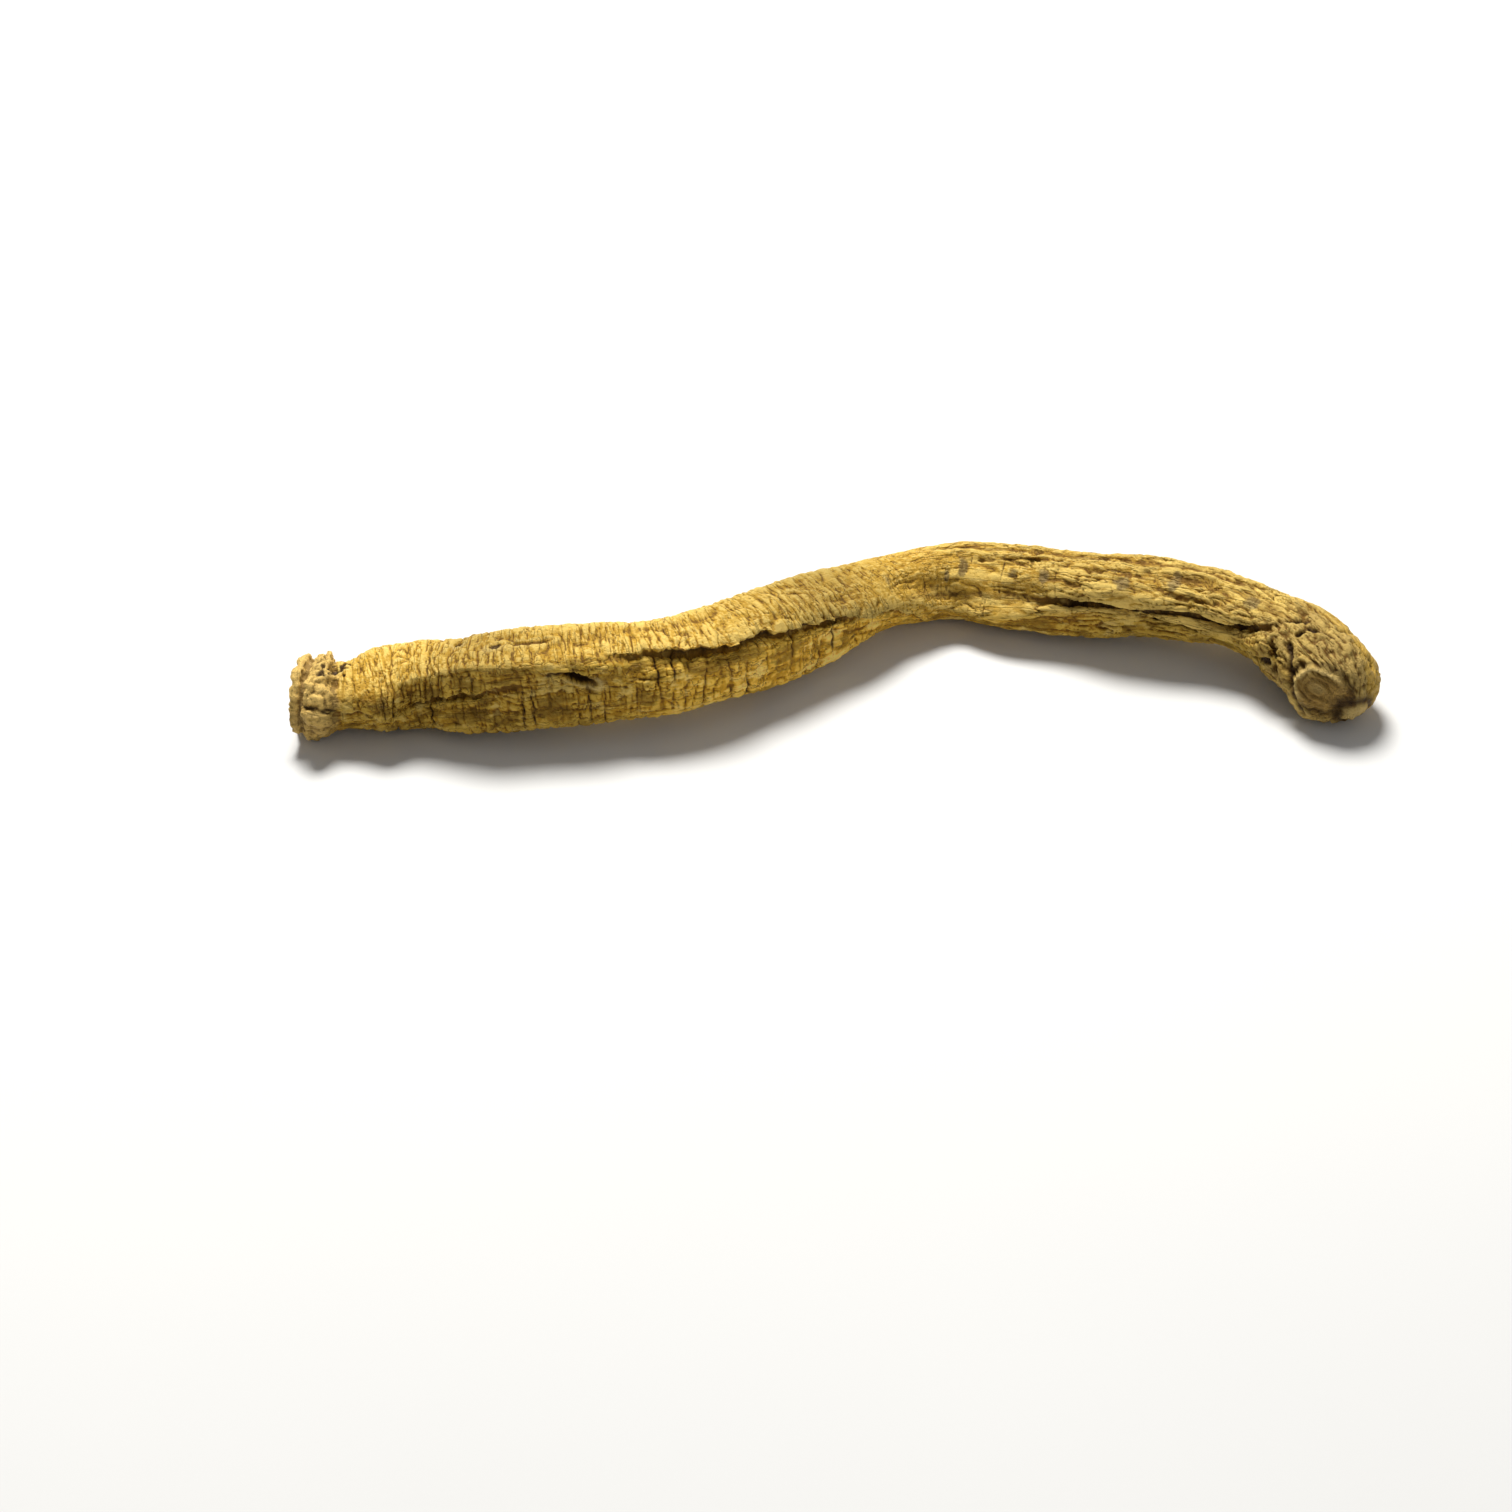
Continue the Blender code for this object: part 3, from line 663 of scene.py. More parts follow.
def skin_noise(unbent, along, around, seed):
    """Natural random values, mostly from -1 to 1, with cells of these sizes along and round the root."""
    cells = unbent / np.array([along, around, around]) + NOISE_SHIFT * seed
    values = [noise.noise(cell) for cell in cells.reshape(-1, 3).tolist()]
    return NOISE_GAIN * np.array(values).reshape(unbent.shape[:-1])


def front_share(at, angle, unbent):
    """1 on the front and underneath, and 0 on the upper face and the back."""
    ragged = FRONT_RAGGED * skin_noise(unbent, *EDGE_RAGS)
    below = across(angle, eased(FRONT_EDGE, at), MEAN_RADIUS) + ragged
    return ramp(*FRONT_GROWTH, below) * (1 - ramp(*FRONT_FADE, below))


def main_cracks(at, angle, unbent, front):
    """The cracks round the crown half, where the solid has rings: their hollows and their sharp cores."""
    draw = np.random.RandomState(RING_SEED)
    wander = RING_WANDER * patches(at, angle, WANDER_LENGTH, WANDERS_ROUND, RING_SEED)
    jitter = CORE_JITTER * skin_noise(unbent, *CORE_RAGS)
    whole = ramp(*CORES_BROKEN, skin_noise(unbent, *CORE_BREAKS)) * (TOP_CORE + (1 - TOP_CORE) * front)
    hollow, core = np.zeros_like(angle), np.zeros_like(angle)
    place = RINGS_START
    while place < RINGS_END:
        lean, start, depth = draw.uniform(-1, 1), draw.uniform(0, 360), draw.uniform(*RING_SHARES)
        turn = np.radians(angle - start)
        gone = at - place - RING_LEAN * lean * np.sin(turn) - wander
        faint = RINGS_FAINTER * ramp(*RINGS_FADE, place)
        strength = depth * ramp(*RING_REACH, np.cos(turn)) * (1 - faint)
        hollow += strength * bell(gone, HOLLOW_WIDTH)
        sharp = SHALLOW_CORE + (1 - SHALLOW_CORE) * ramp(*DEEP_RING, depth)
        core = np.maximum(core, sharp * strength * whole * np.exp(-np.abs(gone + jitter) / CORE_WIDTH))
        wider = 1 + RINGS_WIDER * ramp(RINGS_WIDER_FROM, RINGS_END, place)
        place += RING_SPACING * draw.uniform(*RING_GAPS) * wider
    return hollow, core


def small_cracks(at, angle, unbent):
    """Short thin cracks between the main ones, fewer towards the tail."""
    draw = np.random.RandomState(SMALL_CRACK_SEED)
    wander = SMALL_CRACK_WANDER * skin_noise(unbent, *SMALL_CRACK_WAVES)
    wander += SMALL_CRACK_JITTER * skin_noise(unbent, *SMALL_CRACK_RAGS)
    total = np.zeros_like(angle)
    place = SMALL_CRACKS_START
    while place < SMALL_CRACKS_END:
        start, spread = draw.uniform(0, 360), draw.uniform(*SMALL_CRACK_SPREADS)
        lean, depth = draw.uniform(-1, 1), draw.uniform(*SMALL_CRACK_SHARES)
        rows = np.abs(at[:, 0] - place) < SMALL_CRACK_REACH
        turn = (angle[rows] - start + 180) % 360 - 180
        gone = at[rows] - place - SMALL_CRACK_LEAN * lean * np.sin(np.radians(turn)) - wander[rows]
        arc = 1 - ramp(SMALL_CRACK_ARC * spread, spread, np.abs(turn))
        crack_and_shade = depth * arc * np.exp(-np.abs(gone) / SMALL_CRACK_WIDTH)
        total[rows] = np.maximum(total[rows], crack_and_shade)
        wider = 1 + SMALL_CRACKS_WIDER * ramp(*SMALL_CRACKS_THIN_OUT, place)
        place += SMALL_CRACK_SPACING * draw.uniform(*SMALL_CRACK_GAPS) * wider
    return total


def puckered(values, crease):
    """0 in the creases, where the values cross zero, and up to 1 on the skin between them."""
    return np.tanh(np.abs(values) / crease)


def wrinkle_relief(at, angle):
    """Long creases where slow random patches cross zero, as in the solid."""
    value = patches(at, angle, WRINKLE_LENGTH, WRINKLES_ROUND, WRINKLE_SEED)
    crease = np.exp(-np.abs(value) / WRINKLE_SHARPNESS)
    strength = WRINKLE_LEAST + (1 - WRINKLE_LEAST) * ramp(*WRINKLE_GROWTH, at)
    return -WRINKLE_DEPTH * strength * (1 - WRINKLE_FADED * ramp(*WRINKLE_FADE, at)) * crease


def crown_relief(at, angle, radius):
    """The warts of the collar, the groove behind it, and the knob under the front."""
    warts = patches(at, angle, WART_SIZE, WARTS_ROUND, WART_SEED)
    over = np.radians(angle - COLLAR_GROOVE_ANGLE)
    groove = ramp(*COLLAR_GROOVE_REACH, np.cos(over)) * bell(at - COLLAR_END, COLLAR_GROOVE_WIDTH)
    round_knob = np.hypot(at - KNOB.place, across(angle, KNOB.angle, radius))
    return (
        WART_HEIGHT * warts * (1 - ramp(COLLAR_END, COLLAR_END + COLLAR_FADE, at))
        - COLLAR_GROOVE_DEPTH * groove
        + KNOB.height * bell(round_knob, KNOB.radius)
    )


def crown_cap(share, angle):
    """How far the torn end face stands out, where share goes from 0 at its edge to 1 at its middle."""
    rim = RIM_HEIGHT * bell(share - RIM_SHARE, RIM_WIDTH)
    warts = patches(share * FACE_SIZE, angle, WART_SIZE, WARTS_ROUND // 2, WART_SEED + 1)
    return rim * (1 + RIM_WARTS * warts) + WART_HEIGHT * warts * share - FACE_SINK * ramp(*FACE_SLOPE, share)


def large_relief(at, angle):
    """The radius with the solid's forms, the pull of the folds, the painted shade in their cores, and the
    painted highlight by a lip.
    """
    plain = plain_radius(at, angle)
    sunk, pulled, inside, lip_light = fold_relief(at, angle, plain)
    radius = plain + sunk + ridge_relief(at, angle, plain) + crown_relief(at, angle, plain)
    return radius + wrinkle_relief(at, angle), pulled / plain, inside, lip_light


def row_places(length):
    """Rows along the root, closer where the rings are."""
    ringed = np.linspace(CROWN_START, RINGED_END, ROWS_RINGED)
    tail = np.linspace(RINGED_END, length, ROWS_TAIL + 1)[1:]
    return np.concatenate([ringed, tail])


def column_angles(places):
    """For each row, angles that follow its outline into the folds, closer where the photo shows the skin."""
    fine = np.linspace(0, 360, OUTLINE_SAMPLES + 1)
    at, angle = np.meshgrid(places, fine, indexing="ij")
    radius, pull, _, _ = large_relief(at, angle)
    turn = np.radians(angle) + pull
    outline = np.stack([radius * np.cos(turn), radius * np.sin(turn)], axis=-1)
    steps = np.linalg.norm(np.diff(outline, axis=1), axis=2)
    between = (fine[1:] + fine[:-1]) / 2
    shown = bell((between - SHOWN_ANGLE + 180) % 360 - 180, SHOWN_SPREAD)
    steps *= 1 + (SHOWN_DENSITY - 1) * shown
    gone = np.concatenate([np.zeros((len(places), 1)), np.cumsum(steps, axis=1)], axis=1)
    shares = np.arange(COLUMNS) / COLUMNS
    return np.stack([np.interp(shares * row[-1], row, fine) for row in gone])


def swept_points(places, angle, length):
    """The points of the skin with its large forms, the painted shade in the folds' cores, and the painted
    highlight beside each fold's lip.
    """
    at = places[:, None] + 0 * angle
    radius, pull, inside, lip_light = large_relief(at, angle)
    cap = np.arange(1, CAP_ROWS) / CAP_ROWS
    out, narrow = np.zeros_like(radius), np.ones_like(radius)
    first, last = slice(0, CAP_ROWS - 1), slice(1 - CAP_ROWS, None)
    crown_share = cap[::-1, None] + 0 * angle[first]
    narrow[first] = 1 - crown_share ** FACE_NARROWING
    out[first] = -crown_cap(crown_share, angle[first])
    tail_turn = np.radians(90 * cap)[:, None] + 0 * angle[last]
    narrow[last] = np.cos(tail_turn)
    out[last] = TAIL_DEPTH * np.sin(tail_turn)
    middle, sideways, up, forward = frames(places, length)
    turn = np.radians(angle) + pull
    reach = radius * narrow
    points = (
        middle[:, None]
        + (reach * np.cos(turn))[..., None] * sideways[:, None]
        + (reach * np.sin(turn))[..., None] * up[:, None]
        + out[..., None] * forward[:, None]
    )
    unbent = np.stack([at + out, reach * np.cos(turn), reach * np.sin(turn)], axis=-1)
    return points, unbent, inside, lip_light


def normals_of(points):
    """The outward normals of a grid of points that closes on itself round the root."""
    along = np.gradient(points, axis=0)
    around = np.roll(points, -1, axis=1) - np.roll(points, 1, axis=1)
    normal = np.cross(around, along)
    return normal / np.maximum(np.linalg.norm(normal, axis=-1, keepdims=True), SMALLEST_LENGTH)


def spot_distance(spot, at, angle, radius):
    """How far each place is from a spot's middle, where 1 is the spot's edge."""
    lean = math.radians(spot.lean)
    along, round_it = at - spot.place, across(angle, spot.angle, radius)
    length_way = along * math.cos(lean) - round_it * math.sin(lean)
    width_way = along * math.sin(lean) + round_it * math.cos(lean)
    return np.hypot(length_way / spot.half_length, width_way / spot.half_width)


def crumbs(points, size):
    """Rough random values from about -1 to 1 at points in space, for what is torn or corky."""
    flat = points.reshape(-1, 3) / size
    values = [noise.noise(Vector(point)) for point in flat.tolist()]
    return np.array(values).reshape(points.shape[:-1])


def pucker_relief(at, angle, unbent, front):
    """The creased and blistered skin: mostly round the root near the crown, mostly along it near the tail."""
    tail = ramp(*TAIL_GROWTH, at)
    warped = unbent.copy()
    for k in range(3):
        warped[..., k] += WARP * skin_noise(unbent, *PUCKER_WAVES, WARP_SEED + k)
    total = np.zeros_like(at)
    for number, pucker in enumerate(PUCKERS):
        values = skin_noise(warped, pucker.along, pucker.around, PUCKER_SEED + number)
        strong = PUCKER_MEAN * (1 + skin_noise(unbent, *PUCKER_PATCHES, PUCKER_PATCH_SEED + number))
        crown_depth = pucker.top_depth * (1 - front) + pucker.front_depth * front
        depth = crown_depth * (1 - tail) + pucker.tail_depth * tail
        total -= depth * np.clip(strong, *PUCKER_LIMITS) * (1 - puckered(values, pucker.crease))
    total *= 1 - KNEE[2] * bell(at - KNEE[0], KNEE[1])
    pleats = 1 - puckered(skin_noise(warped, *PLEAT_CELLS), SHARP_CREASE)
    for spot in PLEATS:
        share = 1 - ramp(*PLEAT_EDGE, spot_distance(spot, at, angle, MEAN_RADIUS))
        total -= spot.depth * share * pleats
    return total


def crevice_shares(at, angle, unbent):
    """How much of each place is sunk, in metres, and how much painted shade the hollows and thin crevices lay
    on it.
    """
    sunk, dark = np.zeros_like(at), np.zeros_like(at)
    jitter = CREVICE_RAGGED * skin_noise(unbent, *CREVICE_RAGS)
    for crevice in CREVICES:
        points = [np.array([place, math.radians(turn) * MEAN_RADIUS]) for place, turn in crevice.course]
        here = np.stack([unbent[..., 0], np.radians(angle) * MEAN_RADIUS], axis=-1)
        away = np.full(at.shape, np.inf)
        for first, second in zip(points, points[1:]):
            line = second - first
            share = np.clip((here - first) @ line / (line @ line), 0, 1)
            away = np.minimum(away, np.linalg.norm(here - first - share[..., None] * line, axis=-1))
        near = bell(away + jitter, crevice.half_width)
        sunk = np.maximum(sunk, crevice.depth * near)
        dark = np.maximum(dark, crevice.dark * near)
    return sunk, dark


def bark_share(at, unbent):
    """How much of each place is crumbly collar, and how much is the patchy corky bark of the tail's end."""
    past_collar = at - COLLAR_END + COLLAR_RAGGED * skin_noise(unbent, *COLLAR_RAGS)
    ragged = BARK_RAGGED * skin_noise(unbent, *BARK_PATCHES)
    return 1 - ramp(*COLLAR_EDGE, past_collar), ramp(*BARK_GROWTH, unbent[..., 0] + ragged)


def bark_relief(at, angle, unbent, collar, tail_bark):
    """Crumbly lumps on the collar, and long knots with pits on the tail's end."""
    lump = puckered(skin_noise(unbent, *LUMP_CELLS), LUMP_CREASE) - LUMP_LEVEL
    small_lump = skin_noise(unbent, *SMALL_LUMP_CELLS)
    knots = puckered(skin_noise(unbent, *KNOT_CELLS), KNOT_CREASE) - LUMP_LEVEL
    place, half_width, depth, middle = RIM_GROOVE
    reach = ramp(*RIM_GROOVE_REACH, np.cos(np.radians(angle - middle)))
    groove = depth * bell(at - place, half_width) * reach
    return (
        collar * (COLLAR_LUMP * lump + COLLAR_SMALL_LUMP * small_lump - groove)
        + tail_bark * (BARK_KNOT * knots + BARK_LUMP * lump + BARK_SMALL_LUMP * small_lump)
    )


def flank_share(points):
    """How much of each point is on the golden flank of the tail's end."""
    facing = np.array(FLANK_FACING) / np.linalg.norm(FLANK_FACING)
    away = points - np.array(MIDDLE_LINE[-1])
    near = np.linalg.norm(away, axis=-1) < TAIL_REACH
    return np.where(near, ramp(FLANK_START, FLANK_WHOLE, away @ facing), 0)


def pit_relief(at, angle, radius, unbent):
    """The height of the pits, how dark they are, partly their own dark and partly painted shade in them, and
    their pale rims.
    """
    height, dark, rim = (np.zeros_like(radius) for _ in range(3))
    ragged = PIT_RAGGED * skin_noise(unbent, *SPOT_RAGS)
    for pit in PITS:
        gone = spot_distance(pit, at, angle, radius) + ragged
        lip = PIT_LIP_HEIGHT * pit.dark * bell(gone - PIT_LIP[0], PIT_LIP[1])
        height += lip - pit.depth * (1 - ramp(*PIT_SLOPE, gone))
        dark = np.maximum(dark, pit.dark * (1 - ramp(*PIT_DARK_EDGE, gone)))
        below = ramp(0, PIT_RIM_SIDE, across(angle, pit.angle, radius))
        rim = np.maximum(rim, pit.dark * below * bell(gone - PIT_RIM[0], PIT_RIM[1]))
    return height, dark, rim


def mark_share(at, angle, radius, unbent):
    """How much of each place is a grey corky mark."""
    ragged = MARK_RAGGED * skin_noise(unbent, *SPOT_RAGS)
    share = np.zeros_like(radius)
    for spot in MARKS:
        gone = spot_distance(spot, at, angle, radius) + ragged
        share = np.maximum(share, spot.dark * (1 - ramp(*MARK_EDGE, gone)))
    return share


def burnt_relief(at, angle, radius, unbent):
    """The height of the burnt patches, and how dark they are."""
    height, dark = np.zeros_like(radius), np.zeros_like(radius)
    ragged = BURNT_RAGGED * skin_noise(unbent, *BURNT_RAGS)
    for spot in BURNT:
        share = 1 - ramp(*BURNT_EDGE, spot_distance(spot, at, angle, radius) + ragged)
        height -= spot.depth * share
        dark = np.maximum(dark, spot.dark * share)
    return height, dark


def fine_relief(at, angle, radius, unbent, flank):
    """The height of the fine relief on the large forms, and the colour shares that go with it."""
    front = front_share(at, angle, unbent)
    hollow, core = main_cracks(at, angle, unbent, front)
    small = small_cracks(at, angle, unbent)
    collar, tail_bark = bark_share(at, unbent)
    tail_bark = tail_bark * (1 - FLANK_SMOOTHNESS * flank)
    sunk, crevice_shade = crevice_shares(at, angle, unbent)
    pits, pit_dark_and_shade, rim = pit_relief(at, angle, radius, unbent)
    burnt, burnt_dark = burnt_relief(at, angle, radius, unbent)
    mark = mark_share(at, angle, radius, unbent)
    scratches = MARK_DEPTH * mark * (1 - puckered(skin_noise(unbent, *MARK_CELLS), SHARP_CREASE))
    cracks = HOLLOW_DEPTH * hollow + CORE_DEPTH * core + SMALL_CRACK_DEPTH * small
    height = (1 - collar) * (pucker_relief(at, angle, unbent, front) - cracks)
    height += bark_relief(at, angle, unbent, collar, tail_bark) - sunk + pits + burnt - scratches
    # The dark of cracks, pits and burnt patches, with painted shade in the cracks, crevices and pits.
    crack_dark = np.clip(CORE_DARK * core + SMALL_CRACK_DARK * small, 0, 1) * (1 - collar)
    return height, {
        "crack_and_shade": np.max([crack_dark, crevice_shade, pit_dark_and_shade, burnt_dark], axis=0),
        "mark": mark,
        "rim": rim,
        "collar": collar,
        "bark": tail_bark,
        "flank": flank,
        "front": front,
        "tone_and_light": eased(TOP_TONE_AND_LIGHT, at) * (1 - front) + eased(FRONT_TONE_AND_LIGHT, at) * front,
    }


def cut_end(points):
    """Cuts the tail's end off flat, and says how much of each point is on the cut."""
    facing = np.array(END_FACING) / np.linalg.norm(END_FACING)
    away = points - np.array(MIDDLE_LINE[-1])
    over = away @ facing - END_DISTANCE
    near = np.linalg.norm(away, axis=-1) < TAIL_REACH
    taken = np.where(near, (over + np.hypot(over, END_ROUNDING)) / 2, 0)
    return points - END_SHARE * taken[..., None] * facing, np.where(near, ramp(*END_EDGE, over), 0)


def scar_places(scar, points):
    """Whether each point is near a scar, how far out on its axis it is, and its side and size on the scar."""
    away = points - np.array(MIDDLE_LINE[-1])
    distance = np.linalg.norm(away, axis=-1)
    axis = np.array(scar.axis) / np.linalg.norm(scar.axis)
    along = np.cross([0, 0, 1], axis)
    along /= np.linalg.norm(along)
    right = away @ along / scar.half_length
    up = away @ np.cross(axis, along) / scar.half_width
    near = (away @ axis > SCAR_FACING * distance) & (distance < SCAR_REACH)
    size = np.hypot(right, up) + SCAR_RAGGED[0] * crumbs(points, SCAR_RAGGED[1])
    return near, away @ axis, up - right, size, axis


def stamp_scars(points):
    """Cuts two rootlets' flat ends into the tail, and says how much of each point is rim, cut and shade."""
    moved = points.copy()
    rims, cuts, shades = (np.zeros(points.shape[:-1]) for _ in range(3))
    for scar in SCARS:
        near, out, side, size, axis = scar_places(scar, points)
        stub = 1 - ramp(*STUB_EDGE, size)
        rim = bell(size - SCAR_RIM[0], SCAR_RIM[1]) * ramp(*SCAR_RIM_SIDE, side)
        moat = bell(size - SCAR_MOAT[0], SCAR_MOAT[1])
        circles = np.cos(CIRCLES * size) * stub
        level = out[near & (size < STUB_LEVEL[0])].mean() + STUB_LEVEL[1] * scar.height
        relief = scar.height * (RIM_RISE * rim - MOAT_SINK * moat + CIRCLE_RISE * circles)
        rise = STUB_FLATNESS * stub * (level - out) + relief
        moved += np.where(near, rise, 0)[..., None] * axis
        core = SCAR_CORE[0] * bell(size, SCAR_CORE[1])
        pale = np.max([rim, core, scar.pale * (1 - ramp(*SCAR_MIDDLE, size))], axis=0)
        rims = np.maximum(rims, np.where(near, pale, 0))
        cuts = np.maximum(cuts, np.where(near, stub * (1 - CIRCLE_SHARE * (1 - circles)), 0))
        past = size - SCAR_RING[0]
        ring = bell(past, np.where(past > 0, scar.shade, SCAR_RING[1]))
        # The dark ring round a scar is painted shade.
        shades = np.maximum(shades, np.where(near, (RING_SHADE + PALE_RING_SHADE * scar.pale) * ring, 0))
    return moved, rims, cuts, shades


def blurred(points, reach):
    """The mean of each point's neighbours, up to reach rows and columns away."""
    ahead = np.concatenate([points[:1].repeat(reach, axis=0), points, points[-1:].repeat(reach, axis=0)])
    mean = sum(ahead[k: k + len(points)] for k in range(2 * reach + 1)) / (2 * reach + 1)
    return sum(np.roll(mean, k, axis=1) for k in range(-reach, reach + 1)) / (2 * reach + 1)


def hollowness(points, normals, reach, scale, share):
    """Above 0 in a hollow and below 0 on a crest: a share for each height of the scale."""
    return share * np.sum((blurred(points, reach) - points) * normals, axis=-1) / scale


def build_skin():
    """All the points of the fine skin, its two tips, and the values that its material reads."""
    length = middle_line()[0][-1]
    body = row_places(length)
    ends = np.ones(CAP_ROWS - 1)
    places = np.concatenate([CROWN_START * ends, body, length * ends])
    angle = column_angles(places)
    at = places[:, None] + 0 * angle
    large, unbent, inside, lip_light = swept_points(places, angle, length)
    height, values = fine_relief(at, angle, plain_radius(at, angle), unbent, flank_share(large))
    to_tip = np.clip(np.arange(CAP_ROWS - 1) / TIP_ROWS, TIP_SHARE, 1)
    near_tip = np.concatenate([to_tip, 0 * body + 1, to_tip[::-1]])
    large, end = cut_end(large)
    points = large + (height * near_tip[:, None])[..., None] * normals_of(large)
    points, rim, values["cut"], shade = stamp_scars(points)
    normals = normals_of(points)
    values["rim"] = np.maximum(values["rim"], rim)
    # The cores of overhung folds and the rings round the scars get painted shade too.
    values["crack_and_shade"] = np.maximum(np.maximum(values["crack_and_shade"], inside), shade)
    values["end"] = end
    # Painted shade in the hollows and painted highlight on the crests, lighter beside each overhung fold's
    # edge.
    shade_and_highlight = hollowness(points, normals, *NEAR_HOLLOWS) + hollowness(points, normals, *WIDE_HOLLOWS)
    values["shade_and_highlight"] = np.clip(shade_and_highlight - LIP_HIGHLIGHT * lip_light, -1, 1)
    face_middle, tip = points[0].mean(axis=0), points[-1].mean(axis=0)
    return points, unbent, values, [face_middle, tip]


def quads(rows, columns):
    """The corner numbers of the quads between the rows."""
    row, column = np.meshgrid(np.arange(rows - 1), np.arange(columns), indexing="ij")
    here = (row * columns + column).ravel()
    beside = (row * columns + (column + 1) % columns).ravel()
    return np.stack([here, beside, beside + columns, here + columns], axis=1)


def tip_faces(rows, columns):
    """The triangles round the two tips, whose points follow the rows."""
    column = np.arange(columns)
    beside = (column + 1) % columns
    first, last, end = rows * columns, rows * columns + 1, (rows - 1) * columns
    crown = np.stack([np.full(columns, first), beside, column], axis=1)
    tail = np.stack([np.full(columns, last), end + column, end + beside], axis=1)
    return crown, tail


def lay_in_place(vertices):
    """Flattens what touches the surface, and puts the skin where the solid is."""
    vertices[:, 2] = np.maximum(vertices[:, 2], 0)
    low, high = (np.array(corner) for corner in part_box("root"))
    middle = (vertices.min(axis=0) + vertices.max(axis=0)) / 2
    vertices[:, :2] += ((low + high) / 2 - middle)[:2]
    return vertices


def bake_map(mesh, rows, columns):
    """Lays the unrolled skin on square tiles, each a stretch of the root, for the export's pictures."""
    row, column = (one.ravel() for one in np.meshgrid(np.arange(rows - 1), np.arange(columns), indexing="ij"))
    along = np.stack([row + 1, row + 1, row + 2, row + 2], axis=1).ravel()
    around = np.stack([column, column + 1, column + 1, column], axis=1).ravel()
    column, one = np.arange(columns), np.ones(columns)
    crown_along = np.stack([0 * one, one, one], axis=1)
    tail_along = np.stack([one + rows, rows * one, rows * one], axis=1)
    crown_around = np.stack([column + 0.5, column + 1, column], axis=1)
    tail_around = np.stack([column + 0.5, column, column + 1], axis=1)
    along = np.concatenate([along, crown_along.ravel(), tail_along.ravel()])
    around = np.concatenate([around, crown_around.ravel(), tail_around.ravel()]) / columns
    stretch = math.ceil((rows + 1) / BAKE_TILES ** 2)
    tips = np.concatenate([np.repeat(0 * column, 3), np.repeat(0 * column + rows, 3)])
    first_rows = np.concatenate([np.repeat(row + 1, 4), tips])
    tile = first_rows // stretch
    inner = 1 - 2 * BAKE_MARGIN
    across_tile = (tile % BAKE_TILES + BAKE_MARGIN + inner * (along / stretch - tile)) / BAKE_TILES
    up_tile = (tile // BAKE_TILES + BAKE_MARGIN + inner * around) / BAKE_TILES
    places = np.stack([across_tile, up_tile], axis=1)
    mesh.uv_layers.new(name="OFBake").data.foreach_set("uv", places.ravel())


def make_skin():
    points, unbent, values, tips = build_skin()
    rows, columns = points.shape[:2]
    vertices = lay_in_place(np.concatenate([points.reshape(-1, 3), tips]))
    crown, tail = tip_faces(rows, columns)
    faces = quads(rows, columns).tolist() + crown.tolist() + tail.tolist()
    mesh = bpy.data.meshes.new("root_skin")
    mesh.from_pydata(vertices.tolist(), [], faces)
    mesh.shade_smooth()
    bake_map(mesh, rows, columns)
    for name, value in values.items():
        flat = np.concatenate([value.ravel(), [value[0].mean(), value[-1].mean()]])
        mesh.attributes.new(name, "FLOAT", "POINT").data.foreach_set("value", flat)
    flat = np.concatenate([unbent.reshape(-1, 3), [unbent[0].mean(axis=0), unbent[-1].mean(axis=0)]])
    mesh.attributes.new("unbent", "FLOAT_VECTOR", "POINT").data.foreach_set("vector", flat.ravel())
    skin = bpy.data.objects.new("root_skin", mesh)
    bpy.context.scene.collection.objects.link(skin)
    return skin


